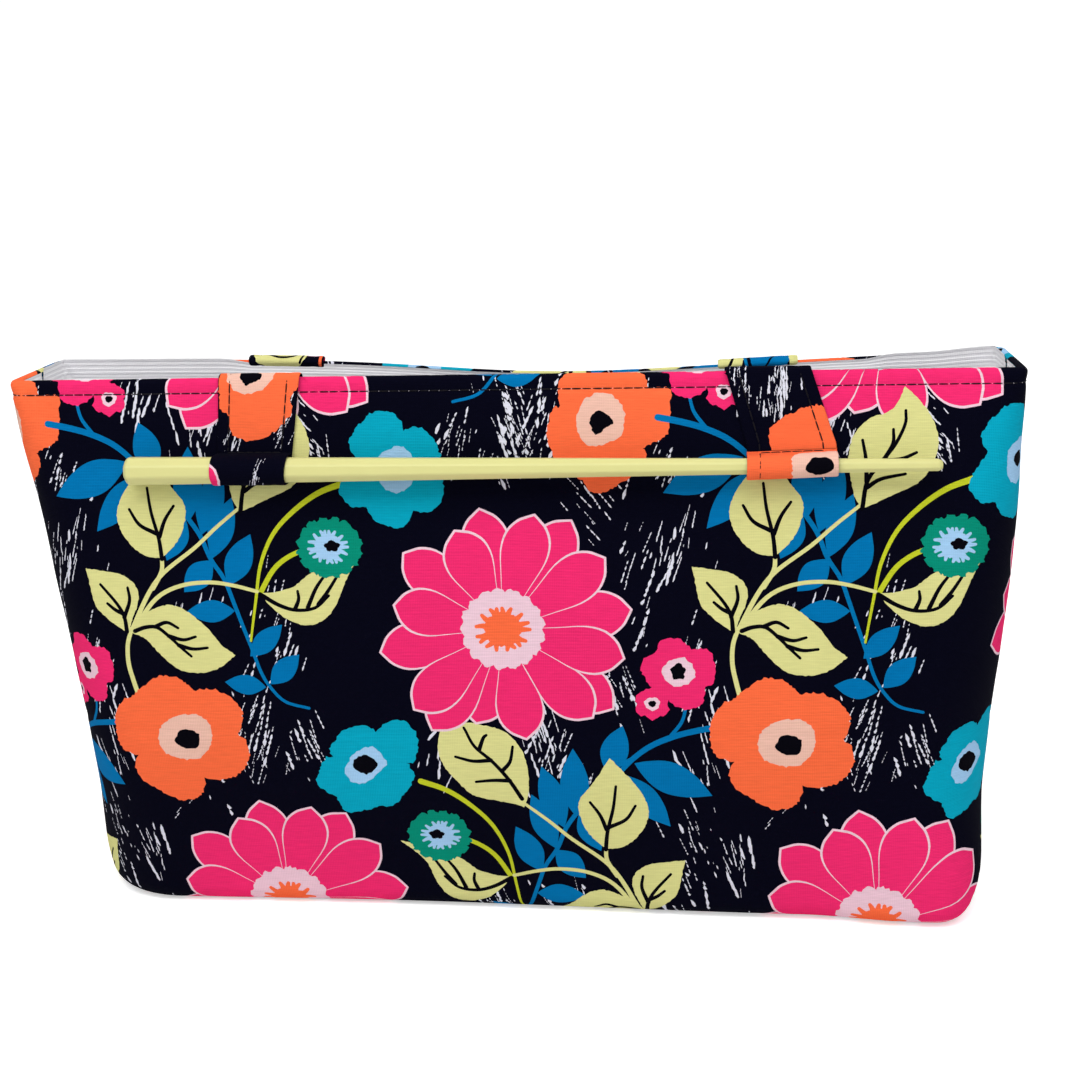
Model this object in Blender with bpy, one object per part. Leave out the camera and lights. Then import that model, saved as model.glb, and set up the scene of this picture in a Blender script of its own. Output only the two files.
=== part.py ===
"""Knitting bag: a soft boxed tote on a flat base, with two short straps over each long rim.

Each pair of straps ends in casings that hold a tapered eight-sided stick, which is the handle.
Frame: origin at the middle of the base, +X along the bag, the front face towards -Y, +Z up.
Lengths below are in millimetres; every mesh is made in metres.
"""

import math

import bmesh
import bpy
from mathutils import Vector

MM = 0.001

# The bag's outer surface.
HEIGHT = 172.5
RIM_HALF_LENGTH = 156.0
BASE_HALF_LENGTH = 145.0
RIM_HALF_DEPTH = 21.0
BASE_HALF_DEPTH = 37.0
RIM_CORNER = 6.0
BODY_CORNER = 26.0
CORNER_POWER = 3.0  # how late the corners tighten towards the rim
FOLD_RADIUS = 6.0  # the soft edge between the walls and the base
LENGTH_POWER = 1.5  # how the length grows with height
DEPTH_POWER = 2.4  # how the walls lean in towards the rim

# The back rim bows into the mouth between its straps, and sags there.
BOW_HALF_WIDTH = 62.0
BOW_DEPTH = 12.0
BOW_START = 60.0
BOW_SAG = 2.5

# Cloth layers, each given as its depth under the outer surface.
GAP = 0.3
OUTER_LAYER = (0.0, 1.2)
INTERLINING_LAYER = (1.5, 2.5)
LINING_LAYER = (2.8, 3.6)
SEAM_ALLOWANCE = 12.0  # the interlining stops this far under the rim
LINING_DROP = 0.8

# Straps: a tail sewn between the layers, and a swinging part that holds the stick.
STRAP_WIDTH = 25.4
STRAP_THICKNESS = 0.9
STRAP_REACH = 77.0  # from the bag's middle to each strap's middle, at the rim
STRAP_SPLAY = {"left": -3.7, "right": 7.3}  # sideways drift from the rim to the stick
HANG_SLOPE = math.radians(10.5)
HINGE_RISE = 1.3  # the fold line's height over the rim
HINGE_INSET = 1.0  # the fold line's depth under the outer surface
FOLD_CLEARANCE = 1.34  # from the fold line to the strap's inner face
HANG_LENGTH = 29.4  # from the fold line to the stick's axis, down the strap
CASING_BORE = 4.55
CASING_CLOSE = 5.8  # how far above the stick's axis the casing is sewn shut
CASING_HEM = 1.2
TAIL_DEPTH = 11.0

# Sticks, measured across their corners.
STICK_SIDES = 8
STICK_THICK_RADIUS = 4.5
STICK_THIN_RADIUS = 1.85
STICK_THICK_END = -116.6
STICK_THIN_END = 129.2
STICK_CHAMFER = 1.2
STICK_TURN = math.radians(14.5)

WALL_ROWS = 8
FOLD_ROWS = 3
CORNER_SEGMENTS = 4
BOW_SEGMENTS = 3
CASING_SEGMENTS = 12

PRINT_COLOR = (0.02, 0.02, 0.035)
INTERLINING_COLOR = (0.75, 0.75, 0.73)
LINING_COLOR = (0.78, 0.78, 0.80)
STICK_COLOR = (0.78, 0.74, 0.32)


def clear_scene():
    for obj in list(bpy.data.objects):
        bpy.data.objects.remove(obj)


def make_material(name, color, roughness):
    material = bpy.data.materials.new(name)
    material.use_nodes = True
    shader = material.node_tree.nodes["Principled BSDF"]
    shader.inputs["Base Color"].default_value = (*color, 1.0)
    shader.inputs["Roughness"].default_value = roughness
    shader.inputs["Metallic"].default_value = 0.0
    return material


def add_object(name, bm, material, smooth_angle=None):
    """A new object from a bmesh in millimetres."""
    bmesh.ops.recalc_face_normals(bm, faces=bm.faces)
    bmesh.ops.scale(bm, vec=(MM, MM, MM), verts=bm.verts)
    mesh = bpy.data.meshes.new(name)
    bm.to_mesh(mesh)
    bm.free()
    mesh.materials.append(material)
    if smooth_angle is not None:
        mesh.shade_smooth()
        mesh.set_sharp_from_angle(angle=smooth_angle)
    obj = bpy.data.objects.new(name, mesh)
    bpy.context.scene.collection.objects.link(obj)
    return obj


# ---- the bag's walls ----


def bow_share(x):
    """1 at the middle of the back rim, falling smoothly to 0 at the straps."""
    if abs(x) >= BOW_HALF_WIDTH:
        return 0.0
    return math.cos(math.pi * x / (2 * BOW_HALF_WIDTH)) ** 2


def half_length(z):
    share = max(z, 0.0) / HEIGHT
    return BASE_HALF_LENGTH + (RIM_HALF_LENGTH - BASE_HALF_LENGTH) * share**LENGTH_POWER


def half_depth(z):
    share = max(z, 0.0) / HEIGHT
    return RIM_HALF_DEPTH + (BASE_HALF_DEPTH - RIM_HALF_DEPTH) * (1 - share**DEPTH_POWER)


def corner_radius(z):
    share = max(z, 0.0) / HEIGHT
    return RIM_CORNER + (BODY_CORNER - RIM_CORNER) * (1 - share**CORNER_POWER)


def half_loop(length, depth, radius):
    """Half of a rounded rectangle, from one side seam round the face at -Y to the other."""
    seam = -GAP / 2
    corner_x = length - radius
    corner_y = radius - depth
    left = [(-length, seam)]
    for step in range(CORNER_SEGMENTS + 1):
        turn = math.pi / 2 * step / CORNER_SEGMENTS
        left.append((-corner_x - radius * math.cos(turn), corner_y - radius * math.sin(turn)))
    bow_xs = [BOW_HALF_WIDTH * step / BOW_SEGMENTS for step in range(-BOW_SEGMENTS, BOW_SEGMENTS + 1)]
    face = [(x, -depth) for x in bow_xs]
    right = [(-x, y) for x, y in reversed(left)]
    return left + face + right


def wall_row(z, back):
    row = []
    for x, y in half_loop(half_length(z), half_depth(z), corner_radius(z)):
        share = bow_share(x) if back and y < -RIM_HALF_DEPTH / 2 else 0.0
        rise = max(0.0, (z - BOW_START) / (HEIGHT - BOW_START))
        row.append(Vector((x, y + BOW_DEPTH * share * rise**2, z - BOW_SAG * share * rise**8)))
    return row


def bag_rows(back):
    """The outer surface of one half of the bag, as rows from the rim down to the base seam."""
    heights = [HEIGHT, HEIGHT - SEAM_ALLOWANCE]
    lowest = FOLD_RADIUS
    for step in range(1, WALL_ROWS):
        heights.append(heights[1] + (lowest - heights[1]) * step / (WALL_ROWS - 1))
    rows = [wall_row(z, back) for z in heights]
    for step in range(1, FOLD_ROWS + 1):
        turn = math.pi / 2 * step / FOLD_ROWS
        inset = FOLD_RADIUS * (1 - math.cos(turn))
        z = FOLD_RADIUS * (1 - math.sin(turn))
        loop = half_loop(half_length(z) - inset, half_depth(z) - inset, corner_radius(z) - inset)
        rows.append([Vector((x, y, z)) for x, y in loop])
    ridge = BASE_HALF_LENGTH - BASE_HALF_DEPTH
    last = len(rows[-1]) - 1
    rows.append([Vector((ridge * (2 * i / last - 1), -GAP / 2, 0.0)) for i in range(last + 1)])
    return rows


def surface_normals(rows):
    """Outward vertex normals of a grid of rows, level along the rim."""
    bm = bmesh.new()
    grid = [[bm.verts.new(point) for point in row] for row in rows]
    for upper, lower in zip(grid, grid[1:]):
        for i in range(len(upper) - 1):
            bm.faces.new((upper[i], lower[i], lower[i + 1], upper[i + 1]))
    bm.normal_update()
    normals = [[vert.normal.copy() for vert in row] for row in grid]
    bm.free()
    for normal in normals[0]:
        normal.z = 0.0
        normal.normalize()
    return normals


def offset_rows(rows, normals, depth):
    return [
        [point - normal * depth for point, normal in zip(row, row_normals)]
        for row, row_normals in zip(rows, normals)
    ]


def layer_mesh(back, layer, first_row=0, drop=0.0):
    """One closed layer of cloth between two depths under the outer surface."""
    rows = bag_rows(back)
    normals = surface_normals(rows)
    bm = bmesh.new()
    skins = []
    for depth in layer:
        skin_rows = offset_rows(rows, normals, depth)[first_row:]
        skin_rows[0] = [point - Vector((0, 0, drop)) for point in skin_rows[0]]
        skins.append([[bm.verts.new(point) for point in row] for row in skin_rows])
    outer, inner = skins
    row_count, column_count = len(outer), len(outer[0])
    for r in range(row_count - 1):
        for c in range(column_count - 1):
            for skin in skins:
                bm.faces.new((skin[r][c], skin[r + 1][c], skin[r + 1][c + 1], skin[r][c + 1]))
        for c in (0, column_count - 1):
            bm.faces.new((outer[r][c], outer[r + 1][c], inner[r + 1][c], inner[r][c]))
    for c in range(column_count - 1):
        for r in (0, row_count - 1):
            bm.faces.new((outer[r][c], outer[r][c + 1], inner[r][c + 1], inner[r][c]))
    if back:
        bmesh.ops.scale(bm, vec=(1, -1, 1), verts=bm.verts)
    return bm


def make_layers(printed_cotton, interlining, lining):
    for side in ("front", "back"):
        back = side == "back"
        smooth = math.radians(40)
        add_object(f"outer_{side}", layer_mesh(back, OUTER_LAYER), printed_cotton, smooth)
        inner = layer_mesh(back, INTERLINING_LAYER, first_row=1)
        add_object(f"interlining_{side}", inner, interlining, smooth)
        add_object(f"lining_{side}", layer_mesh(back, LINING_LAYER, drop=LINING_DROP), lining, smooth)


# ---- straps and sticks, made for the front and turned half round for the back ----


def hinge_point():
    """Where the fold line of the front straps crosses the bag's middle plane, as (y, z)."""
    return (-RIM_HALF_DEPTH + HINGE_INSET, HEIGHT + HINGE_RISE)


def hanging_point(down, out):
    """(y, z) of a point on the hanging front strap: down along it, and out from the fold line."""
    y, z = hinge_point()
    sine, cosine = math.sin(HANG_SLOPE), math.cos(HANG_SLOPE)
    return (y - down * sine - out * cosine, z - down * cosine + out * sine)


def stick_offset():
    return FOLD_CLEARANCE + STRAP_THICKNESS + CASING_BORE


def ribbon_mesh(path, thickness, place):
    """A strip of cloth along a path of (down, out) points. place(down, out, side) gives a corner."""
    points = [Vector(point) for point in path]
    bm = bmesh.new()
    rings = []
    for i, point in enumerate(points):
        before = (point - points[i - 1]).normalized() if i else None
        after = (points[i + 1] - point).normalized() if i + 1 < len(points) else None
        along = ((before or after) + (after or before)).normalized()
        across = Vector((-along.y, along.x))
        reach = thickness / 2 / along.dot(after or before)
        near, far = point - across * reach, point + across * reach
        corners = [(near, -1), (near, 1), (far, 1), (far, -1)]
        rings.append([bm.verts.new(place(spot.x, spot.y, side)) for spot, side in corners])
    for ring, following in zip(rings, rings[1:]):
        for i in range(4):
            j = (i + 1) % 4
            bm.faces.new((ring[i], ring[j], following[j], following[i]))
    bm.faces.new(rings[0])
    bm.faces.new(reversed(rings[-1]))
    return bm


def casing_path():
    """The strap's middle line: down behind the stick, under it, up its front and shut above it."""
    line = FOLD_CLEARANCE + STRAP_THICKNESS / 2
    radius = CASING_BORE + STRAP_THICKNESS / 2
    center = (HANG_LENGTH, stick_offset())
    shut = Vector((-CASING_CLOSE, line + STRAP_THICKNESS + GAP - center[1]))
    tangent = math.acos(radius / shut.length) - math.atan2(-shut.y, -shut.x)
    sweep = 1.5 * math.pi - tangent
    path = [(0.0, line), (HANG_LENGTH / 2, line)]
    for step in range(CASING_SEGMENTS + 1):
        turn = sweep * step / CASING_SEGMENTS
        path.append((center[0] + radius * math.sin(turn), center[1] - radius * math.cos(turn)))
    path.append((center[0] + shut.x, center[1] + shut.y))
    path.append((center[0] + shut.x - CASING_HEM, center[1] + shut.y))
    return path


def strap_mesh(middle, splay):
    def place(down, out, side):
        x = middle + splay * down / HANG_LENGTH + side * STRAP_WIDTH / 2
        return Vector((x, *hanging_point(down, out)))

    return ribbon_mesh(casing_path(), STRAP_THICKNESS, place)


def tail_mesh(middle):
    """The strap's sewn end, up between the layers and bent over the rim as far as the fold line."""
    layer_middle = sum(INTERLINING_LAYER) / 2
    thickness = INTERLINING_LAYER[1] - INTERLINING_LAYER[0]
    lean = (half_depth(HEIGHT - SEAM_ALLOWANCE) - RIM_HALF_DEPTH) / SEAM_ALLOWANCE
    path = [
        (TAIL_DEPTH, layer_middle - lean * TAIL_DEPTH),
        (0.0, layer_middle),
        (-0.8, layer_middle - 0.1),
        (-1.5, layer_middle - 0.5),
        (-1.8, layer_middle - 1.2),
    ]

    def place(down, depth, side):
        return Vector((middle + side * STRAP_WIDTH / 2, depth - RIM_HALF_DEPTH, HEIGHT - down))

    return ribbon_mesh(path, thickness, place)


def stick_mesh():
    y, z = hanging_point(HANG_LENGTH, stick_offset())
    ends = [
        (STICK_THICK_END, STICK_THICK_RADIUS - STICK_CHAMFER),
        (STICK_THICK_END + STICK_CHAMFER, STICK_THICK_RADIUS),
        (STICK_THIN_END - STICK_CHAMFER, STICK_THIN_RADIUS),
        (STICK_THIN_END, STICK_THIN_RADIUS - STICK_CHAMFER / 2),
    ]
    bm = bmesh.new()
    rings = []
    for x, radius in ends:
        turns = [STICK_TURN + 2 * math.pi * i / STICK_SIDES for i in range(STICK_SIDES)]
        ring = [(x, y + radius * math.cos(t), z + radius * math.sin(t)) for t in turns]
        rings.append([bm.verts.new(point) for point in ring])
    for ring, following in zip(rings, rings[1:]):
        for i in range(STICK_SIDES):
            j = (i + 1) % STICK_SIDES
            bm.faces.new((ring[i], ring[j], following[j], following[i]))
    bm.faces.new(rings[0])
    bm.faces.new(reversed(rings[-1]))
    return bm


def turn_half_round(bm):
    """From the front's place to the back's, about the bag's upright axis."""
    bmesh.ops.scale(bm, vec=(-1, -1, 1), verts=bm.verts)


def make_handle(side, printed_cotton, painted_wood):
    back = side == "back"
    for hand, sign in (("left", -1), ("right", 1)):
        # Turned half round, the strap made on the left lands on the right.
        made_from = ("right", 1) if (hand == "left") == back else ("left", -1)
        middle = STRAP_REACH * made_from[1]
        strap = strap_mesh(middle, STRAP_SPLAY[made_from[0]])
        tail = tail_mesh(middle)
        if back:
            turn_half_round(strap)
            turn_half_round(tail)
        add_object(f"{side}_{hand}_strap", strap, printed_cotton, math.radians(40))
        add_object(f"{side}_{hand}_strap_tail", tail, printed_cotton)
    stick = stick_mesh()
    if back:
        turn_half_round(stick)
    add_object(f"{side}_stick", stick, painted_wood)


def main():
    clear_scene()
    printed_cotton = make_material("printed_cotton", PRINT_COLOR, 0.85)
    interlining = make_material("interlining", INTERLINING_COLOR, 0.95)
    lining = make_material("lining", LINING_COLOR, 0.9)
    painted_wood = make_material("painted_wood", STICK_COLOR, 0.35)
    make_layers(printed_cotton, interlining, lining)
    for side in ("front", "back"):
        make_handle(side, printed_cotton, painted_wood)


main()
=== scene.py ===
"""The knitting bag's looks: printed cotton, white lining, straps and painted sticks, around the CAD frame.

Lengths are in millimetres unless a name says otherwise; every mesh is turned into metres as it is made.
Print coordinates are (u, v): u runs round the bag from the middle of a face, v runs up it.
"""

import functools
import math
import random

import bmesh
import bpy
import numpy as np
from mathutils import Matrix, Vector, geometry, noise


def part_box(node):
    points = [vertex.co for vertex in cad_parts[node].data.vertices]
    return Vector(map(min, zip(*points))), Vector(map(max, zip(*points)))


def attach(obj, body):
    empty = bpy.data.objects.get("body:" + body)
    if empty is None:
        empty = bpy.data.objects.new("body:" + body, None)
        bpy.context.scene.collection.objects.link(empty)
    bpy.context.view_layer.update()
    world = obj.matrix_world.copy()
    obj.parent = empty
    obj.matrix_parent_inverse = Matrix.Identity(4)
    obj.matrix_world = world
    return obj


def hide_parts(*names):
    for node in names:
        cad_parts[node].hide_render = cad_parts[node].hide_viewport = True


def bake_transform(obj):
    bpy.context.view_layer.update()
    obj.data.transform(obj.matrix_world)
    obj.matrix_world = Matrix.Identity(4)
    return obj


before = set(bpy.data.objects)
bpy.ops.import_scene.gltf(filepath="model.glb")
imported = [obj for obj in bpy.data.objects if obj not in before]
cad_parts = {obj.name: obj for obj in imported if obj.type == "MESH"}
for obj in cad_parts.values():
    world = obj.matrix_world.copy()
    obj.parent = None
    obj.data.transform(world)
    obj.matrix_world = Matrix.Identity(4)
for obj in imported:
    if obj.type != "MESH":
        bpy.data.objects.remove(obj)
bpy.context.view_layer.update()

MM = 0.001
STRAPS = ("left", "right")

# ---- sizes taken from the frame ----


def box_mm(node):
    low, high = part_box(node)
    return [value / MM for value in low], [value / MM for value in high]


OUTER_LOW, OUTER_HIGH = box_mm("outer_front")
HEIGHT = OUTER_HIGH[2]
BASE_HALF_DEPTH = -OUTER_LOW[1]
BASE_HALF_LENGTH = {"left": 143.5, "right": 146.5}
LENGTH_GROWTH = {"left": 13.5, "right": 8.5}
GROWTH_HEIGHTS = {"left": (20.0, 190.0), "right": (0.0, 150.0)}
# How much the lowest corners are drawn in, and up to what height.
TUCK = {"left": 2.0, "right": 4.6}
TUCK_HEIGHT = 22.0
RIM_HALF_DEPTH = 21.0
DEPTH_POWER = 2.4
FOLD_RADIUS = 6.0
RIM_ROLL = 1.6  # half the rim's thickness, where the print turns over it
RIM_ROLL_TURN = math.radians(150)
RIM_CORNER = 3.4
BODY_CORNER = 28.0
TIGHT_CORNER = 10.5  # at the foot of the right side
PANEL_REACH = 170.0  # from a face's middle to the side seam, round the corner
WALL_BOTTOM = FOLD_RADIUS * (1 - math.pi / 2)
WALL_TOP = HEIGHT - RIM_ROLL + RIM_ROLL_TURN * RIM_ROLL

# The back rim bows into the mouth between its straps, and sags there.
BOW_MIDDLE, BOW_WIDTH, BOW_DEPTH = 8.0, 48.0, 12.0
BOW_START = 60.0
SAG_MIDDLE, SAG_WIDTH, SAG_DEPTH = 40.0, 95.0, 4.2
RIM_ENDS = (130.0, 152.0)  # the bow and the sag fade out here

# Straps and sticks, as in the frame.
STRAP_WIDTH = 25.4
STRAP_THICKNESS = 0.9
PRESSED_THICKNESS = 0.5  # in the rim's seam and round the stick
STRAP_REACH = 77.0
STRAP_SPLAY = {"left": -3.7, "right": 7.3}
# How the front straps sit: shift at the rim, splay, share of the width at the casing, and the casing's tilt.
STRAP_DRAW = {"left": (1.3, -2.2, 0.91, 0.0), "right": (1.7, 7.0, 1.05, 0.5)}
SPLAY_END = {"left": 1.0, "right": 0.78}  # the splay stops at this share of the hanging length
HANG_SLOPE = math.radians(10.5)
HINGE_Y, HINGE_Z = -20.0, 173.8
FOLD_CLEARANCE = 1.34
HANG_LENGTH = 29.4
CASING_BORE = 4.55
CASING_LINE = 4.42  # from the stick's axis to the middle of the cloth round it
CASING_CLOSE = 4.9
CASING_SIZE = {"left": 1.0, "right": 0.78}  # the right casing holds the stick's thin end
CASING_HEM = 0.8
STICK_SIDES = 8
STICK_RADII = {"thick": 4.5, "thin": 1.85}
STICK_TURN = math.radians(14.5)

# ---- the print ----

REPEAT = 189.4  # the print's repeat, both ways
SPRAY = (-119.4, 94.7)  # where the stems of one spray meet, on the front
MIRRORED_SPRAY = (39.5, 0.0)  # and of the mirrored one

INKS = {
    "ground": (0.0014, 0.0014, 0.0062),
    "black": (0.0016, 0.0014, 0.0034),
    "bare cloth": (0.60, 0.60, 0.68),
    "orange": (0.82, 0.130, 0.045),
    "pink": (0.74, 0.022, 0.135),
    "pale pink": (0.72, 0.50, 0.58),
    "blush": (0.71, 0.43, 0.345),
    "yellow": (0.60, 0.585, 0.235),
    "teal": (0.002, 0.31, 0.44),
    "light blue": (0.30, 0.50, 0.72),
    "emerald": (0.002, 0.22, 0.145),
    "lime": (0.45, 0.50, 0.02),
    "blue": (0.0005, 0.140, 0.355),
}


def spline(points, closed=False, steps=4):
    """Points along a Catmull-Rom curve through the given ones."""
    points = [np.array(p, float) for p in points]
    if closed:
        ends = [points[-1], *points, points[0], points[1]]
    else:
        ends = [2 * points[0] - points[1], *points, 2 * points[-1] - points[-2]]
    out = []
    for a, b, c, d in zip(ends, ends[1:], ends[2:], ends[3:]):
        for step in range(steps):
            t = step / steps
            square = 2 * a - 5 * b + 4 * c - d
            cube = 3 * b - a - 3 * c + d
            out.append(0.5 * (2 * b + (c - a) * t + square * t**2 + cube * t**3))
    if not closed:
        out.append(points[-1])
    return np.array(out)


def outline(*runs):
    """A closed outline from smooth runs of points.

    Each run starts where the one before it ends, in a notch or tip.
    """
    return np.concatenate([spline(run)[:-1] for run in runs])


def stroke(points, start_width, end_width):
    """A tapering line of ink along a smooth curve, with round ends."""
    line = spline(points, steps=5)
    along = np.gradient(line, axis=0)
    along /= np.maximum(np.linalg.norm(along, axis=1), 1e-9)[:, None]
    across = np.stack([-along[:, 1], along[:, 0]], axis=1)
    half = np.linspace(start_width, end_width, len(line))[:, None] / 2

    def cap(end, way, side):
        radius = half[end, 0]
        turns = (np.arange(1, 5) * math.pi / 5)[:, None]
        return line[end] + radius * (side[end] * np.cos(turns) + way[end] * np.sin(turns))

    left, right = line + across * half, line - across * half
    return np.concatenate([left, cap(-1, along, across), right[::-1], cap(0, -along, -across)])


def ragged(points, depth=0.3, pitch=0.75):
    """The same closed outline with the slightly torn edge of a dry print."""
    out = []
    for a, b in zip(points, np.roll(points, -1, axis=0)):
        along = b - a
        length = np.linalg.norm(along)
        if length < 1e-6:
            continue
        across = np.array([along[1], -along[0]]) / length
        count = max(1, round(length / pitch))
        for step in range(count):
            x, y = a + along * step / count
            wander = noise.noise((1.7 * x, 1.7 * y, 0.3)) + 0.7 * noise.noise((0.6 * x, 0.6 * y, 4.0))
            out.append((x, y) + across * 2 * depth * wander)
    return np.array(out)


LEAF_SHAPE = ((0.0, 0.0), (0.12, 0.42), (0.32, 0.9), (0.52, 1.0), (0.74, 0.72), (0.9, 0.3), (1.0, 0.0))
PETAL_SHAPE = ((0.2, 0.3), (0.42, 0.62), (0.64, 0.94), (0.8, 0.92), (0.91, 0.62), (0.965, 0.27), (1.0, 0.0))


def blade(shape, base, tip, width, bend=0.0):
    """A leaf or petal from base to tip. bend bows its middle sideways, as a share of its length."""
    base, tip = np.array(base, float), np.array(tip, float)
    along = tip - base
    across = np.array([-along[1], along[0]])
    length = np.linalg.norm(along)
    sides = []
    for side in (1, -1):
        sides.append(
            [
                base + along * t + across * (bend * math.sin(math.pi * t) + side * w * width / 2 / length)
                for t, w in shape
            ]
        )
    return np.concatenate([spline(sides[0], steps=3)[:-1], spline(sides[1][::-1], steps=3)])


def wavy_disc(center, radii, lobes, depth, steps=6, turn=0.0, power=1.0):
    """A disc with rounded scallops, or pointed rays for a power over 1."""
    out = []
    for i in range(lobes * steps):
        angle = turn + 2 * math.pi * i / (lobes * steps)
        wave = abs(math.sin(math.pi * i / steps)) ** power
        reach = 1 - depth * (1 - wave)
        out.append((center[0] + radii[0] * reach * math.cos(angle),
                    center[1] + radii[1] * reach * math.sin(angle)))
    return np.array(out)


def blot(center, radii, lobes=5, depth=0.14, turn=0.3):
    """A small uneven spot."""
    out = []
    for i in range(20):
        angle = 2 * math.pi * i / 20
        reach = 1 + depth * math.sin(lobes * angle + turn) * math.cos(2 * angle - turn)
        out.append((center[0] + radii[0] * reach * math.cos(angle),
                    center[1] + radii[1] * reach * math.sin(angle)))
    return np.array(out)


def starburst(center, radius, rays, ink):
    """A ragged disc that ends in narrow rays."""
    center = np.array(center, float)
    shapes = [(ink, ragged(wavy_disc(center, (0.66 * radius, 0.62 * radius), rays, 0.1), 0.15))]
    for i in range(rays):
        angle = 2 * math.pi * (i + 0.3 * math.sin(5 * i)) / rays
        way = np.array([math.cos(angle), math.sin(angle)])
        side = np.array([-way[1], way[0]]) * radius * 0.05 * math.sin(3 * i)
        root, tip = center + way * radius * 0.45, center + way * radius * (0.84 + 0.1 * math.cos(7 * i))
        shapes.append((ink, stroke([root, (root + tip) / 2 + side, tip], 0.25 * radius, 0.13 * radius)))
    return shapes


# Each daisy petal's angle in degrees and reach, those behind first.
DAISY_BACK = ((100, 38), (57, 40), (8.5, 40.4), (-37, 42.5), (-107, 32), (-125.5, 40.5), (-169, 39.7),
              (142, 38.8))
DAISY_FRONT = ((115, 34), (73.5, 37), (167.6, 35), (-138, 39), (-79.6, 36.3), (-46, 39.6), (-14, 38.7),
               (34.5, 38.8))
DAISY_PETAL_WIDTH = 15.6
PETAL_LINE = 0.55


def daisy(center, mirrored):
    """Two rings of petals, each outlined by the paler petal under it.

    The flower looks the same way on both sprays, so its angles are turned back on the mirrored one.
    """
    shapes = []
    for petals in (DAISY_BACK, DAISY_FRONT):
        for degrees, reach in petals:
            angle = math.radians(180 - degrees if mirrored else degrees)
            way = np.array([math.cos(angle), math.sin(angle)])
            tip = np.array(center) + way * reach
            shapes.append(("pale pink", blade(PETAL_SHAPE, center, tip, DAISY_PETAL_WIDTH)))
            inner = np.array(center) + way * (reach - 1.5 * PETAL_LINE)
            shapes.append(("pink", blade(PETAL_SHAPE, center, inner, DAISY_PETAL_WIDTH - 2 * PETAL_LINE)))
    shapes.append(("pale pink", ragged(wavy_disc(center, (13.2, 12.9), 17, 0.07), 0.34)))
    shapes += starburst(center, 8.9, 17, "orange")
    return shapes


def scalloped_flower(center):
    x, z = center
    return [
        ("emerald", ragged(wavy_disc(center, (10.4, 9.5), 16, 0.08), 0.36)),
        *starburst((x - 0.4, z + 0.2), 6.6, 18, "light blue"),
        ("black", ragged(blot((x + 0.7, z + 0.3), (2.3, 1.6), 3, 0.3), 0.15)),
    ]


def eyed_flower(petals, ring, heart, inks):
    """A flower with a paler ring and a black heart, all with torn edges."""
    edges = (ragged(petals, 0.32), ragged(spline(ring, closed=True), 0.26),
             ragged(spline(heart, closed=True), 0.26))
    return list(zip(inks, edges))


def poppy(mirrored):
    if mirrored:
        petals = outline(
            [(21.6, -17.0), (23.4, -19.9), (23.4, -23.0), (22.8, -26.6)],
            [(22.8, -26.6), (25.1, -27.2), (26.9, -33.6), (25.6, -40.1), (22.6, -44.5), (16.8, -48.1),
             (14.3, -51.7),
             (11.0, -52.3), (4.6, -49.4), (-0.4, -46.4), (-3.3, -41.6), (-1.9, -38.8)],
            [(-1.9, -38.8), (-8.6, -35.7), (-10.1, -31.4), (-10.6, -21.8)],
            [(-10.6, -21.8), (-7.3, -21.1), (-3.7, -21.3)],
            [(-3.7, -21.3), (-2.1, -17.0), (5.0, -13.0), (15.0, -13.0), (21.6, -17.0)],
        )
        ring = [(10.0, -22.5), (6.0, -24.0), (3.8, -27.2), (3.4, -32.0), (5.2, -36.0), (12.0, -38.1),
                (15.6, -37.4),
                (18.0, -31.4), (16.0, -25.4), (13.2, -23.2)]
        heart = [(11.2, -27.8), (8.6, -29.1), (6.8, -31.2), (8.9, -32.8), (12.2, -34.9), (13.8, -31.4),
                 (13.0, -29.0)]
    else:
        petals = outline(
            [(18.5, -19.5), (24.0, -18.8), (29.5, -20.8), (33.5, -25.5), (33.6, -30.5), (31.8, -33.3)],
            [(31.8, -33.3), (35.0, -37.2), (34.6, -42.5), (31.0, -47.3), (25.5, -49.3), (19.6, -48.6)],
            [(19.6, -48.6), (19.3, -53.0), (16.0, -56.3), (10.5, -56.6), (5.0, -53.5), (-0.5, -50.0),
             (-2.8, -45.5),
             (-1.4, -41.4)],
            [(-1.4, -41.4), (-7.6, -38.0), (-8.6, -30.5), (-6.4, -24.2), (0.2, -19.6), (5.8, -15.2),
             (11.0, -14.3),
             (15.0, -16.0), (18.5, -19.5)],
        )
        ring = [(6.6, -32.0), (10.4, -28.4), (16.0, -27.0), (21.0, -28.2), (23.4, -32.8), (22.2, -38.4),
                (18.5, -41.8), (14.0, -42.2), (8.6, -40.6), (6.2, -37.0)]
        heart = [(11.2, -36.0), (13.0, -32.6), (17.0, -32.4), (19.4, -34.4), (18.6, -38.0), (14.6, -38.6)]
    return eyed_flower(petals, ring, heart, ("orange", "blush", "black"))


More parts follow.
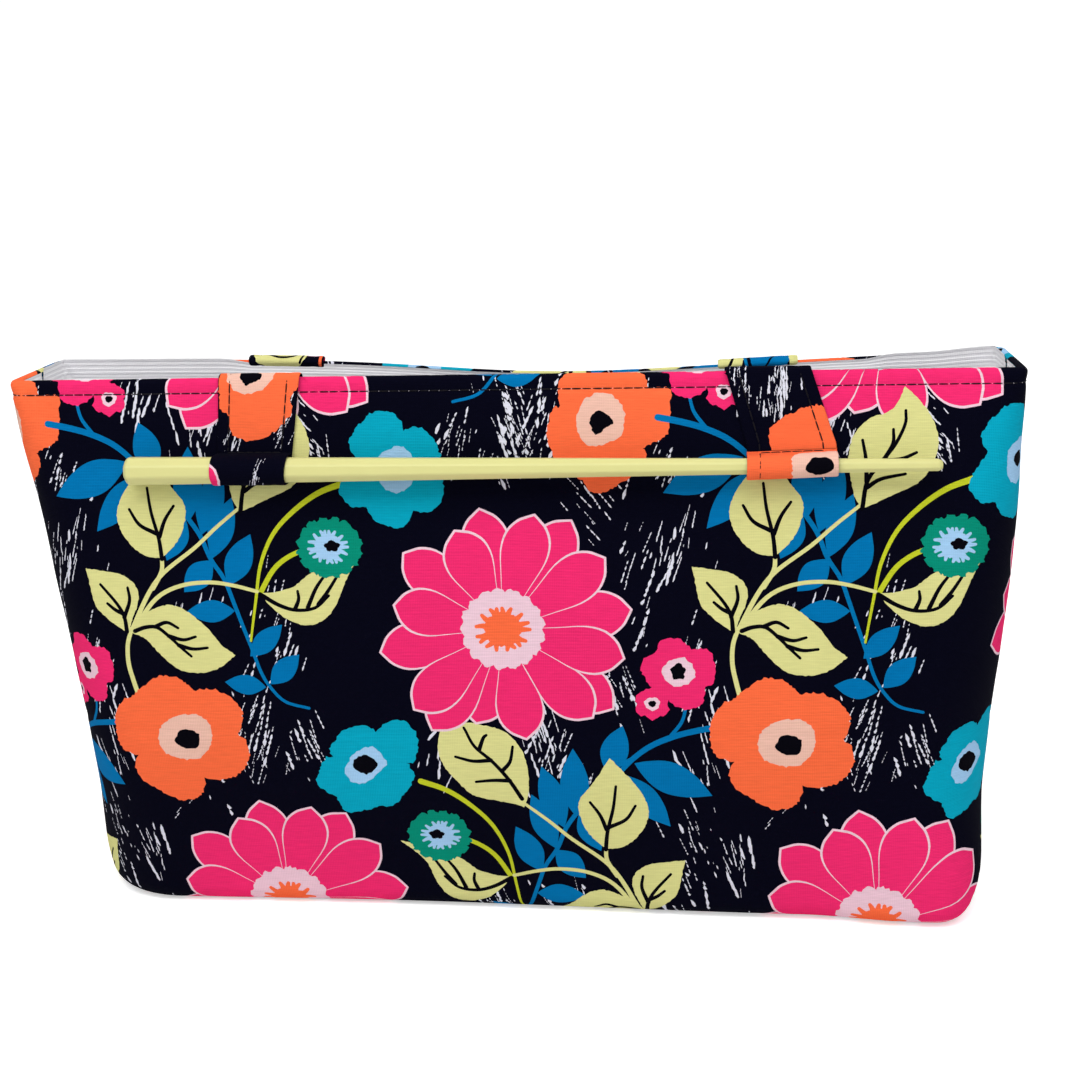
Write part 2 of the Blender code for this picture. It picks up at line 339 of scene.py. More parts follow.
def teal_flower(mirrored):
    if mirrored:
        petals = outline(
            [(82.4, 62.2), (80.2, 64.8), (77.2, 66.2), (73.6, 66.0), (70.6, 63.2), (69.2, 59.8), (70.6, 52.6),
             (73.2, 52.2)],
            [(73.2, 52.2), (71.0, 49.2), (71.4, 46.4), (74.2, 41.8), (78.4, 37.4), (82.8, 37.2)],
            [(82.8, 37.2), (84.6, 36.4), (89.8, 35.0), (94.0, 35.2), (96.4, 39.8)],
            [(96.4, 39.8), (101.8, 43.6), (102.0, 47.0), (99.4, 53.4), (96.8, 54.0)],
            [(96.8, 54.0), (97.6, 56.8), (94.0, 61.8), (91.0, 63.8), (86.8, 64.6), (83.8, 63.8),
             (82.4, 62.2)],
        )
        ring = [(93.2, 49.4), (91.6, 52.8), (88.8, 55.8), (85.2, 57.6), (82.6, 56.8), (79.4, 52.4),
                (81.4, 49.6),
                (84.2, 46.8), (87.8, 45.2), (91.4, 45.8)]
        heart = [(82.4, 52.0), (85.0, 54.4), (88.4, 54.2), (90.4, 51.4), (88.0, 48.6), (84.6, 49.0)]
    else:
        petals = outline(
            [(88.0, 61.5), (87.0, 65.2), (83.0, 67.6), (78.4, 67.0), (74.4, 63.6), (71.4, 59.6), (71.4, 57.0),
             (73.0, 54.0)],
            [(73.0, 54.0), (70.0, 49.0), (67.8, 44.6), (69.0, 41.0), (72.0, 38.6), (76.0, 38.6)],
            [(76.0, 38.6), (77.4, 35.8), (81.0, 33.4), (85.6, 32.2), (88.8, 33.8), (90.6, 37.6)],
            [(90.6, 37.6), (95.0, 37.0), (98.6, 39.4), (100.0, 42.6), (99.8, 49.0), (99.4, 54.0),
             (97.6, 58.8),
             (94.4, 61.6), (91.0, 62.8), (88.0, 61.5)],
        )
        ring = [(80.0, 53.4), (83.4, 56.0), (86.6, 57.0), (89.2, 56.0), (91.0, 53.0), (91.0, 46.6),
                (86.6, 43.0),
                (82.4, 44.0), (80.2, 47.2)]
        heart = [(82.8, 50.8), (85.2, 52.8), (88.0, 51.4), (88.2, 48.6), (85.0, 48.0)]
    return eyed_flower(petals, ring, heart, ("teal", "light blue", "black"))


def small_pinks():
    petals = outline(
        [(-16.0, 89.1), (-14.6, 91.3), (-11.0, 92.7), (-7.2, 91.9), (-5.2, 88.1)],
        [(-5.2, 88.1), (-1.8, 86.5), (-1.0, 82.7), (-3.4, 78.1), (-8.4, 74.3)],
        [(-8.4, 74.3), (-11.2, 71.3), (-15.2, 70.3), (-19.4, 72.3), (-20.6, 77.3)],
        [(-20.6, 77.3), (-23.2, 79.5), (-23.4, 85.3), (-20.8, 89.3), (-16.0, 89.1)],
    )
    small, big = (-4.2, 72.1), (-12.4, 82.1)
    return [
        ("pink", ragged(wavy_disc(small, (5.6, 5.2), 6, 0.16), 0.25)),
        ("pale pink", blot(small, (2.4, 2.1))),
        ("black", blot(small, (1.2, 1.0))),
        ("pink", ragged(petals, 0.28)),
        ("pale pink", ragged(blot(big, (5.0, 4.5), 6, 0.1), 0.2)),
        ("black", ragged(blot(big, (2.3, 2.5), 3, 0.25), 0.15)),
    ]


VEIN = 1.4


def veined_leaf(edge_runs, veins):
    shapes = [("yellow", ragged(outline(*edge_runs), 0.12))]
    for vein in veins:
        shapes.append(("black", stroke(vein, VEIN, VEIN * 0.62)))
    return shapes


def low_leaf():
    """The round leaf that stands over the stems' meeting point."""
    base, tip = (11.0, 23.3), (9.2, 54.6)
    return veined_leaf(
        [[base, (5.4, 24.2), (0.3, 28.5), (-2.4, 34.0), (-2.2, 39.6), (1.8, 46.6), tip],
         [tip, (14.4, 46.4), (18.8, 40.6), (19.0, 35.2), (16.2, 28.4), base]],
        [[(11.0, 23.0), (10.3, 29.5), (8.4, 37.5), (7.4, 45.2)],
         [(9.6, 31.0), (4.4, 33.8), (1.4, 38.6)],
         [(10.6, 30.0), (12.6, 35.2), (15.6, 39.6)]],
    )


def high_leaf(leaning):
    """The leaf on the long stem. On the mirrored spray it leans further over."""
    base = (36.4, 37.4)
    if leaning:
        tip = (58.5, 71.0)
        edges = [[base, (34.8, 43.1), (35.0, 51.6), (37.5, 58.5), (42.5, 63.2), (50.0, 65.3), (55.0, 66.4),
                  tip],
                 [tip, (61.0, 66.5), (63.0, 58.0), (61.5, 51.5), (56.5, 45.2), (51.5, 41.0), (40.5, 38.9),
                  base]]
        veins = [[(37.0, 40.4), (41.0, 47.0), (46.0, 53.0), (51.5, 58.0), (54.6, 64.0)],
                 [(50.0, 56.8), (48.6, 60.6), (47.6, 61.6)],
                 [(43.0, 49.8), (40.4, 53.0), (39.4, 58.0)],
                 [(46.4, 53.4), (52.0, 53.0), (57.6, 54.4)],
                 [(40.6, 46.6), (46.0, 46.6), (51.4, 46.0)]]
    else:
        tip = (49.0, 73.0)
        edges = [[base, (34.2, 41.6), (32.5, 52.0), (34.2, 59.4), (39.0, 64.0), (45.4, 66.4), tip],
                 [tip, (54.0, 68.0), (58.0, 61.4), (58.4, 54.0), (54.0, 45.8), (45.0, 41.2), base]]
        veins = [[(36.6, 37.6), (38.0, 45.5), (41.5, 50.5), (46.0, 56.0), (49.0, 62.0), (49.2, 66.0)],
                 [(43.0, 52.0), (45.5, 56.5), (45.6, 60.6)],
                 [(37.8, 45.5), (37.6, 52.0), (36.6, 57.6)],
                 [(43.0, 51.5), (48.0, 52.0), (52.4, 53.8)],
                 [(38.0, 43.8), (42.0, 46.2), (49.2, 47.6)]]
    return veined_leaf(edges, veins)


def right_leaf(mirrored):
    base = (41.4, 12.2)
    tip = (77.0, 24.2) if mirrored else (72.4, 22.4)
    return veined_leaf(
        [[base, (46.0, 12.4), (52.4, 14.2), (57.2, 18.0), (64.4, 21.4), tip],
         [tip, (69.6, 17.4), (66.8, 11.0), (63.2, 5.2), (58.0, 2.2), (51.8, 3.0), (46.0, 6.8), base]],
        [[(41.6, 11.8), (47.4, 8.4), (53.0, 6.8), (59.0, 7.6), (63.4, 11.4)],
         [(52.6, 7.2), (53.8, 10.2), (53.6, 12.8)],
         [(56.6, 7.6), (59.4, 13.6), (62.4, 17.8)],
         [(60.0, 8.6), (63.2, 12.8), (67.0, 18.6)]],
    )


def left_leaf():
    base, tip = (-1.2, -0.4), (-14.0, 20.0)
    return veined_leaf(
        [[base, (-6.4, 3.2), (-11.2, 8.0), (-12.8, 14.4), tip],
         [tip, (-8.4, 19.2), (-2.2, 18.0), (2.2, 14.4), (2.6, 9.6), (0.2, 3.6), base]],
        [[(-1.6, 0.0), (-2.2, 4.8), (-4.4, 9.0), (-9.4, 15.0)],
         [(-2.2, 4.6), (-0.2, 9.8), (-0.6, 14.0)],
         [(-2.6, 5.8), (-5.0, 7.0), (-7.4, 9.0)]],
    )


def low_right_leaf():
    base, tip = (0.0, -0.2), (32.8, -7.6)
    return veined_leaf(
        [[base, (4.0, 5.0), (8.2, 7.6), (13.0, 8.6), (18.2, 6.6), (24.4, 1.2), (28.6, -4.4), tip],
         [tip, (28.0, -11.4), (22.0, -13.4), (15.0, -12.6), (9.4, -8.2), (4.6, -2.6), base]],
        [[(1.0, 0.2), (4.4, 1.4), (8.2, 1.4), (12.0, -1.6), (15.4, -5.0), (18.6, -8.0)],
         [(7.6, 1.6), (11.4, 3.0), (15.0, 1.2)],
         [(11.8, -1.4), (16.4, -2.6), (20.4, -1.6)],
         [(14.8, -4.4), (19.4, -5.6), (24.0, -5.2)]],
    )


def yellow_stems():
    lines = (
        ([(35.8, 38.4), (29.0, 33.0), (21.5, 26.4), (11.4, 18.8), (6.0, 12.0), (0.0, 0.4)], 1.0, 1.5),
        ([(11.0, 23.6), (10.6, 19.0), (7.6, 13.8)], 1.2, 1.5),
        ([(40.8, 12.6), (33.0, 14.6), (25.5, 15.6), (16.5, 14.6), (8.5, 10.6), (1.0, 1.4)], 1.1, 1.4),
        ([(0.0, 1.0), (-1.6, -4.0), (-1.8, -10.0), (-0.6, -16.0), (1.0, -22.0)], 1.3, 1.5),
    )
    return [("yellow", stroke(*line)) for line in lines]


def lime_stems():
    lines = (
        ([(69.0, 46.0), (61.0, 43.0), (53.2, 37.6), (46.6, 30.6), (42.2, 21.0), (40.2, 10.0), (38.0, -3.0)],
         1.9, 0.7),
        ([(56.5, 26.0), (50.6, 23.2), (46.0, 19.2), (41.6, 12.0)], 1.5, 1.6),
    )
    return [("lime", stroke(*line)) for line in lines]


# Blue leaves, each as base, tip and width.
BLUE_LEAVES = (
    ((20.0, 34.5), (20.6, 57.5), 9.0),
    ((19.0, 36.0), (12.5, 22.5), 7.5),
    ((24.0, 30.5), (30.6, 51.6), 8.5),
    ((26.8, 23.0), (34.0, 42.0), 8.0),
    ((31.6, 14.5), (39.4, 30.6), 8.4),
    ((27.0, 22.4), (17.6, 12.6), 8.0),
    ((33.4, 6.6), (18.0, 6.4), 7.0),
    ((37.5, -8.0), (48.2, 2.2), 6.6),
    ((43.5, -17.0), (53.2, -7.3), 6.8),
    ((42.0, -18.0), (28.8, -16.4), 6.4),
    ((10.0, 49.5), (5.0, 65.0), 8.6),
    ((1.5, 53.0), (-22.5, 42.4), 10.4),
    ((6.0, 49.5), (-9.5, 31.6), 8.8),
)


def blue_sprigs():
    stems = (
        ([(18.6, 37.6), (23.4, 30.4), (26.4, 23.0), (30.4, 16.6), (33.2, 9.0), (35.6, 2.0), (38.2, -5.6),
          (40.6, -13.0),
          (43.4, -18.0), (48.0, -22.6), (55.5, -24.6)], 1.5, 0.9),
        ([(-24.0, 64.8), (-17.0, 63.4), (-10.5, 61.6), (-3.6, 58.6), (2.0, 54.4), (7.0, 49.0)], 2.0, 1.6),
        ([(-14.6, 71.4), (-13.2, 66.4), (-9.8, 61.8)], 0.9, 1.2),
        ([(2.0, 54.6), (9.0, 50.4), (14.0, 43.6), (19.0, 36.4)], 1.2, 1.4),
    )
    shapes = [("blue", stroke(*stem)) for stem in stems]
    for base, tip, width in BLUE_LEAVES:
        shapes.append(("blue", blade(LEAF_SHAPE, base, tip, width)))
    return shapes


SCALLOPED_CENTER = (64.2, 26.4)
SCRATCH_LEAN = math.radians(72)


STREAK_WIDTHS = (0.25, 0.3, 0.4, 0.5, 0.6, 1.1)


def flake(center, way, length, width, taper, slant):
    """One sliver of bare cloth, cut off at a slant where another stroke of the brush crosses it."""
    side = np.array([-way[1], way[0]]) * width / 2
    end = way * length / 2
    skew = way * slant * width
    return np.array([center - end * 0.9 + side * taper, center + end * 0.3 + side + skew,
                     center + end + side * 0.4 + skew,
                     center + end * 0.9 - side * taper, center - end * 0.2 - side, center - end - side * 0.4])


def scratch_patch(random_source, center, size, count, lean, fine=1.0):
    """A patch of dry-brush streaks, each broken into slivers."""
    shapes = []
    slant = random_source.choice((-0.8, 0.9))
    for _ in range(count):
        place = np.array(center) + np.array([random_source.gauss(0, size[0]),
                                             random_source.gauss(0, size[1])])
        streak_lean = lean + random_source.gauss(0, 0.09)
        way = np.array([math.cos(streak_lean), math.sin(streak_lean)])
        width = fine * random_source.choice(STREAK_WIDTHS)
        for _ in range(random_source.randint(1, 5)):
            length = 0.4 + width * random_source.uniform(1.0, 3.4)
            taper = random_source.uniform(0.1, 0.7)
            shapes.append(("bare cloth", flake(place, way, length, width, taper, slant)))
            place = place + way * (0.55 * length + 0.3) * random_source.uniform(1.0, 1.7)
            width *= random_source.uniform(0.7, 1.15)
    return shapes


# Patches of scratches around one spray: middle, spread and number of streaks.
SCRATCH_PATCHES = (
    ((-25.0, 62.0), (2.5, 5.0), 22),
    ((-18.0, 46.0), (4.0, 3.0), 20),
    ((30.0, 60.0), (4.0, 8.0), 26),
    ((4.0, 72.0), (4.0, 5.0), 18),
    ((45.0, -4.0), (4.0, 8.0), 26),
    ((37.0, -34.0), (3.5, 8.0), 48),
    ((-13.0, -12.0), (2.5, 9.0), 22),
    ((-20.0, 24.0), (4.5, 8.0), 26),
    ((58.0, 64.0), (2.5, 7.0), 16),
    ((104.0, 56.0), (4.0, 5.0), 22),
    ((130.0, 58.0), (4.0, 8.0), 40),
    ((147.0, 46.0), (3.0, 9.0), 34),
    ((158.0, 16.0), (2.5, 9.0), 20),
    ((100.0, -42.0), (5.0, 4.0), 20),
    ((134.0, -44.0), (5.0, 6.0), 26),
    ((20.0, 4.0), (4.0, 4.0), 14),
)


def scratches(seed):
    random_source = random.Random(seed)
    shapes = []
    for center, size, count in SCRATCH_PATCHES:
        lean = SCRATCH_LEAN if random_source.random() < 0.8 else SCRATCH_LEAN + math.radians(58)
        shapes += scratch_patch(random_source, center, size, count, lean)
    return shapes


@functools.cache
def spray(mirrored):
    """One whole motif group around the point where its stems meet, in painting order."""
    return [
        *scratches(5 if mirrored else 3),
        *blue_sprigs(),
        *lime_stems(),
        *daisy((115.5, 1.0) if mirrored else (117.5, 1.0), mirrored),
        *yellow_stems(),
        *right_leaf(mirrored),
        *high_leaf(mirrored),
        *low_leaf(),
        *left_leaf(),
        *low_right_leaf(),
        *scalloped_flower(SCALLOPED_CENTER),
        *teal_flower(mirrored),
        *poppy(mirrored),
        *small_pinks(),
    ]


def placed_inside(shapes, low, high):
    return [(ink, points) for ink, points in shapes
            if (points.max(axis=0) > low).all() and (points.min(axis=0) < high).all()]


def print_shapes(low, high, offset=(0.0, 0.0)):
    """Every inked outline that reaches into the box from low to high, in painting order."""
    shapes = []
    for center, mirrored in ((MIRRORED_SPRAY, True), (SPRAY, False)):
        flip = (-1.0 if mirrored else 1.0, 1.0)
        group = [(ink, points * flip) for ink, points in spray(mirrored)]
        lowest = np.min([points.min(axis=0) for _, points in group], axis=0)
        highest = np.max([points.max(axis=0) for _, points in group], axis=0)
        for row in range(3, -4, -1):
            for column in range(-4, 5):
                shift = np.array(center) + np.array([column, row]) * REPEAT + offset
                if (lowest + shift < high).all() and (highest + shift > low).all():
                    shapes += placed_inside([(ink, points + shift) for ink, points in group], low, high)
    shapes.sort(key=lambda shape: shape[0] != "bare cloth")
    return shapes


# ---- flat sheets cut along the print's outlines ----


def covered(points, polygon):
    """Which points lie inside the polygon, by its winding number."""
    winding = np.zeros(len(points), int)
    following = np.roll(polygon, -1, axis=0)
    for (ax, ay), (bx, by) in zip(polygon, following):
        side = (bx - ax) * (points[:, 1] - ay) - (by - ay) * (points[:, 0] - ax)
        winding += (ay <= points[:, 1]) & (by > points[:, 1]) & (side > 0)
        winding -= (ay > points[:, 1]) & (by <= points[:, 1]) & (side < 0)
    return winding != 0


def cut_print(border, inner_points, shapes):
    """Triangles over the bordered sheet, each wholly in one ink: (points, triangles, ink names)."""
    border = np.array(border)
    points, edges = [], []
    for loop in (border, *(shape for _, shape in shapes)):
        first, count = len(points), len(loop)
        points += [tuple(p) for p in loop]
        edges += [(first + i, first + (i + 1) % count) for i in range(count)]
    points += [tuple(p) for p in inner_points]
    made = geometry.delaunay_2d_cdt([Vector(p) for p in points], edges, [], 0, 1e-4, False)
    vertices = np.array([tuple(v) for v in made[0]])
    triangles = np.array(made[2])
    middles = vertices[triangles].mean(axis=1)
    kept = covered(middles, border)
    triangles, middles = triangles[kept], middles[kept]
    inks = np.full(len(triangles), "ground", dtype=object)
    for ink, shape in shapes:
        near = np.flatnonzero(((middles > shape.min(axis=0)) & (middles < shape.max(axis=0))).all(axis=1))
        inks[near[covered(middles[near], shape)]] = ink
    used, order = np.unique(triangles, return_inverse=True)
    return vertices[used], order.reshape(-1, 3), inks


def sheet_object(name, positions, normals, triangles, inks, uv, material, flip=False):
    """A mesh object from positions in millimetres.

    The ink becomes a corner colour, and the print's (u, v) the UV map.
    """
    if flip:
        triangles = triangles[:, ::-1]
        normals = -normals
    mesh = bpy.data.meshes.new(name)
    mesh.from_pydata((positions * MM).tolist(), [], triangles.tolist())
    corners = triangles.reshape(-1)
    layer = mesh.uv_layers.new(name="cloth")
    layer.data.foreach_set("uv", (uv[corners] * MM).reshape(-1).astype(np.float32))
    if inks is not None:
        colors = np.array([(*INKS[ink], 1.0) for ink in inks])
        ink_layer = mesh.color_attributes.new("ink", "FLOAT_COLOR", "CORNER")
        ink_layer.data.foreach_set("color", np.repeat(colors, 3, axis=0).reshape(-1).astype(np.float32))
    mesh.polygons.foreach_set("use_smooth", [True] * len(mesh.polygons))
    mesh.normals_split_custom_set_from_vertices(normals.tolist())
    mesh.materials.append(material)
    obj = bpy.data.objects.new(name, mesh)
    bpy.context.scene.collection.objects.link(obj)
    return obj


# ---- the bag's surface ----


def smooth_step(low, high, value):
    share = np.clip((value - low) / (high - low), 0.0, 1.0)
    return share * share * (3 - 2 * share)


def half_length(z, on_left):
    """From the bag's middle to its side, which spreads a little more on the left."""
    tuck = (1 - smooth_step(0.0, TUCK_HEIGHT, z)) ** 2
    reach = {}
    for hand in STRAPS:
        growth = LENGTH_GROWTH[hand] * smooth_step(*GROWTH_HEIGHTS[hand], z)
        reach[hand] = BASE_HALF_LENGTH[hand] + growth - TUCK[hand] * tuck
    return np.where(on_left, reach["left"], reach["right"])


def half_depth(z):
    share = np.clip(z, 0.0, HEIGHT) / HEIGHT
    return RIM_HALF_DEPTH + (BASE_HALF_DEPTH - RIM_HALF_DEPTH) * (1 - share**DEPTH_POWER)


def corner_radius(z, on_left):
    share = np.clip(z, 0.0, HEIGHT) / HEIGHT
    soft = RIM_CORNER + (BODY_CORNER - RIM_CORNER) * (1 - share**3)
    foot = TIGHT_CORNER + (BODY_CORNER - TIGHT_CORNER) * smooth_step(0.0, 40.0, z)
    return np.where(on_left, soft, np.minimum(soft, foot))


def rim_fade(x):
    return 1 - smooth_step(*RIM_ENDS, np.abs(x))


def back_bow(x, z):
    """How far the back wall bows into the mouth."""
    rise = np.clip((z - BOW_START) / (HEIGHT - BOW_START), 0.0, 1.0)
    return BOW_DEPTH * np.exp(-(((x - BOW_MIDDLE) / BOW_WIDTH) ** 2)) * rim_fade(x) * rise**2


def back_sag(x, z):
    """How far the back rim hangs below the front one."""
    rise = np.clip((z - BOW_START) / (HEIGHT - BOW_START), 0.0, 1.0)
    return SAG_DEPTH * np.exp(-(((x - SAG_MIDDLE) / SAG_WIDTH) ** 2)) * rim_fade(x) * rise**8


def foot_shift(x, z):
    """How far the front's lower edge is pushed back: it stands slightly askew."""
    back = 5.8 - 5.3 * smooth_step(-60.0, 100.0, x) - 4.0 * smooth_step(90.0, 125.0, x)
    return back * (1 - smooth_step(0.0, 60.0, z))


def profile(v, depth):
    """Height and inset of the wall at print height v, for a layer lying depth under the outer surface."""
    fold = FOLD_RADIUS
    roll = RIM_ROLL
    top = HEIGHT - roll
    z = np.array(v, float)
    inset = np.zeros_like(z)
    low = v < fold
    turn = np.where(low, (fold - v) / fold, 0.0)
    z = np.where(low, fold - (fold - depth) * np.sin(turn), z)
    inset = np.where(low, fold - (fold - depth) * np.cos(turn) - depth, inset)
    high = v > top
    bend = np.where(high, (v - top) / roll, 0.0)
    z = np.where(high, top + (roll - depth) * np.sin(bend), z)
    inset = np.where(high, (roll - depth) * (1 - np.cos(bend)), inset)
    return z, inset + depth


WAVES = ((0.021, 0.034, 1.1, 0.55), (0.047, 0.019, 2.7, 0.4), (0.033, 0.071, 4.4, 0.3),
         (0.083, 0.052, 0.6, 0.2))


def ripple(u, v, seed):
    """Soft rolls in the cloth, in millimetres."""
    total = np.zeros_like(u)
    for index, (along, up, phase, reach) in enumerate(WAVES):
        shift = phase + seed * (1.7 + index)
        total += reach * np.sin(along * u * 1.3 + shift + 1.3 * np.sin(up * v * 1.1 + shift)) * np.cos(
            up * v - shift + 0.8 * np.sin(along * u * 0.7)
        )
    return total


def relief(u, v, back):
    """How far the cloth stands out from the plain form."""
    fade = smooth_step(6.0, 40.0, v) * (1 - 0.75 * smooth_step(HEIGHT - 40.0, HEIGHT - 6.0, v))
    out = ripple(u, v, 3.1 if back else 0.0) * fade
    pucker = np.cos(2 * math.pi * u / STITCH_PITCH) * np.exp(-(((v - STITCH_HEIGHT) / 3.2) ** 2))
    out += 0.10 * pucker
    out -= 0.28 * np.exp(-(((v - STITCH_HEIGHT) / 1.1) ** 2))
    if not back:
        out -= CREASE_DEPTH * np.exp(-(((v - CREASE_HEIGHT) / 1.6) ** 2))
    return out


CREASE_HEIGHT = 62.0  # a faint fold mark across the front
CREASE_DEPTH = 0.16
STITCH_PITCH = 3.1
STITCH_DROP = 4.4
STITCH_HEIGHT = HEIGHT - STITCH_DROP


def wall_point(u, v, back=False, depth=0.0, relief_share=1.0):
    """Positions of a wall's cloth, for the half at -Y (or the back one, not yet turned to +Y)."""
    z, inset = profile(v, depth)
    on_left = (u > 0) if back else (u < 0)
    radius = corner_radius(z, on_left)
    corner_x = half_length(z, on_left) - radius
    flat_y = half_depth(z) - radius
    reach = np.abs(u)
    arc = np.clip(reach - corner_x, 0.0, radius * math.pi / 2)
    turn = arc / radius
    side_start = corner_x + radius * math.pi / 2
    side = np.clip((reach - side_start) / (PANEL_REACH - side_start), 0.0, 1.0)
    out_x, out_y = np.sin(turn), -np.cos(turn)
    stand = relief(u, v, back) * relief_share * np.where(reach > 160, (PANEL_REACH - reach) / 10.0, 1.0)
    x = np.minimum(reach, corner_x) + (radius - inset + stand) * out_x
    y = -flat_y + (radius - inset + stand) * out_y
    y = np.where(side > 0, -flat_y * (1 - side), y)
    x = np.copysign(x, u)
    if back:
        sag = back_sag(-x, z)
        y = y + back_bow(-x, z)
        z = z - sag
    else:
        y = y * (1 - foot_shift(x, z) / BASE_HALF_DEPTH)
    return np.stack([x, y, z], axis=-1)


def wall_normals(u, v, **form):
    """Outward normals by finite differences."""
    step = 0.15
    across = wall_point(u + step, v, **form) - wall_point(u - step, v, **form)
    up = wall_point(u, v + step, **form) - wall_point(u, v - step, **form)
    normal = np.cross(across, up)
    length = np.maximum(np.linalg.norm(normal, axis=1), 1e-12)
    return normal / length[:, None]


def turned(points, back):
    """From the half at -Y to the back's place, about the bag's upright axis."""
    return points * (-1.0, -1.0, 1.0) if back else points


def grid_lines():
    """Print heights of the rows of extra points: close together where the cloth bends tightly."""
    fold = np.linspace(WALL_BOTTOM, FOLD_RADIUS, 9)[1:-1]
    body = np.arange(FOLD_RADIUS, HEIGHT - 12.0, 2.6)
    body = np.union1d(body, np.arange(CREASE_HEIGHT - 3.2, CREASE_HEIGHT + 3.6, 0.8))
    hem = np.arange(HEIGHT - 12.0, HEIGHT - RIM_ROLL - 0.1, 0.8)
    roll = np.linspace(HEIGHT - RIM_ROLL, WALL_TOP, 9)[:-1]
    return np.concatenate([fold, body, hem, roll])


PRINT_SHIFT = {"front": (0.0, 0.0), "back": (64.0, 31.0)}


def outer_wall(side, material):
    back = side == "back"
    reach = PANEL_REACH
    columns = np.linspace(-reach, reach, 151)
    rows = grid_lines()
    border = [(u, WALL_BOTTOM) for u in columns]
    border += [(reach, v) for v in rows]
    border += [(u, WALL_TOP) for u in columns[::-1]]
    border += [(-reach, v) for v in rows[::-1]]
    inner = [(u, v) for v in rows for u in columns[1:-1]]
    shapes = print_shapes((-reach, WALL_BOTTOM), (reach, WALL_TOP), PRINT_SHIFT[side])
    flat, triangles, inks = cut_print(border, inner, shapes)
    u, v = flat[:, 0], flat[:, 1]
    positions = turned(wall_point(u, v, back=back), back)
    normals = turned(wall_normals(u, v, back=back), back)
    return sheet_object(f"{side}_wall", positions, normals, triangles, inks, flat - PRINT_SHIFT[side],
                        material)


def base_point(u, w, depth=0.0):
    """The underside: w runs on from the wall's lower edge towards the seam along the middle."""
    y = -(half_depth(0.0) - FOLD_RADIUS - (WALL_BOTTOM - w))
    return np.stack([u, y, np.full_like(u, depth)], axis=-1)


def outer_base(side, material):
    back = side == "back"
    columns = np.linspace(-PANEL_REACH, PANEL_REACH, 121)
    edge = wall_point(columns, np.full_like(columns, WALL_BOTTOM), back=back, relief_share=0.0)
    depth = half_depth(0.0) - FOLD_RADIUS
    seam = WALL_BOTTOM - depth
    border = [(x, WALL_BOTTOM - depth - y) for x, y, _ in edge]
    inside = edge[:, 0].max() - 3.0
    inner = [(x, w) for x in np.arange(-inside, inside, 6.0) for w in np.arange(seam + 4.0,
                                                                                WALL_BOTTOM - 3.0, 6.0)]
    body_end = BASE_HALF_LENGTH["left"] - BODY_CORNER
    inner = [(x, w) for x, w in inner if abs(x) < body_end or w < WALL_BOTTOM - BODY_CORNER]
    shapes = print_shapes((-PANEL_REACH, seam), (PANEL_REACH, WALL_BOTTOM), PRINT_SHIFT[side])
    flat, triangles, inks = cut_print(border, inner, shapes)
    positions = turned(base_point(flat[:, 0], flat[:, 1]), back)
    normals = np.tile((0.0, 0.0, -1.0), (len(flat), 1))
    return sheet_object(f"{side}_base", positions, normals, triangles, inks, flat - PRINT_SHIFT[side],
                        material, False)


# ---- materials ----


class Nodes:
    """Short calls for building one material's nodes."""

    def __init__(self, name, **sockets):
        self.material = bpy.data.materials.new(name)
        self.material.use_nodes = True
        self.tree = self.material.node_tree
        self.shader = self.tree.nodes["Principled BSDF"]
        for socket, value in sockets.items():
            self.shader.inputs[socket.replace("_", " ")].default_value = value

    def add(self, kind, settings=(), **inputs):
        node = self.tree.nodes.new(f"ShaderNode{kind}")
        for key, value in dict(settings).items():
            setattr(node, key, value)
        for socket, value in inputs.items():
            self.feed(node, socket.replace("_", " ") if not socket.startswith("in") else int(socket[2:]),
                      value)
        return node

    def feed(self, node, socket, value):
        if isinstance(value, bpy.types.NodeSocket):
            self.tree.links.new(value, node.inputs[socket])
        else:
            node.inputs[socket].default_value = value

    def math(self, operation, a, b=0.0, c=0.0):
        return self.add("Math", {"operation": operation}, in0=a, in1=b, in2=c).outputs[0]

    def mix(self, share, a, b):
        node = self.add("Mix", {"data_type": "RGBA"})
        self.feed(node, 0, share)
        self.feed(node, 6, a)
        self.feed(node, 7, b)
        return node.outputs[2]

    def noise(self, vector, scale, detail=2.0, roughness=0.5):
        settings = {"noise_dimensions": "3D"}
        node = self.add("TexNoise", settings, Vector=vector, Scale=scale, Detail=detail, Roughness=roughness)
        return node.outputs[0]

    def mapped(self, vector, scale=(1, 1, 1), turn=0.0, shift=(0, 0, 0)):
        node = self.add("Mapping", Vector=vector, Scale=scale, Rotation=(0, 0, turn), Location=shift)
        return node.outputs[0]

    def bump(self, height, distance, strength=1.0):
        node = self.add("Bump", Height=height, Distance=distance, Strength=strength)
        return node.outputs[0]


WEAVE_PITCH_M = 0.00046


def weave_height(nodes, uv):
    """Threads over and under each other, a little uneven."""
    parts = nodes.add("SeparateXYZ", Vector=uv)
    uneven = nodes.noise(nodes.mapped(uv, (60, 900, 1)), 1.0, 2.0)
    rows = nodes.math("ADD", nodes.math("MULTIPLY", parts.outputs[1], 2 * math.pi / WEAVE_PITCH_M), uneven)
    columns = nodes.math("MULTIPLY", parts.outputs[0], 2 * math.pi / (1.2 * WEAVE_PITCH_M))
    over = nodes.math("SINE", rows)
    under = nodes.math("MULTIPLY", nodes.math("SINE", columns), 0.45)
    return nodes.math("ADD", over, under)


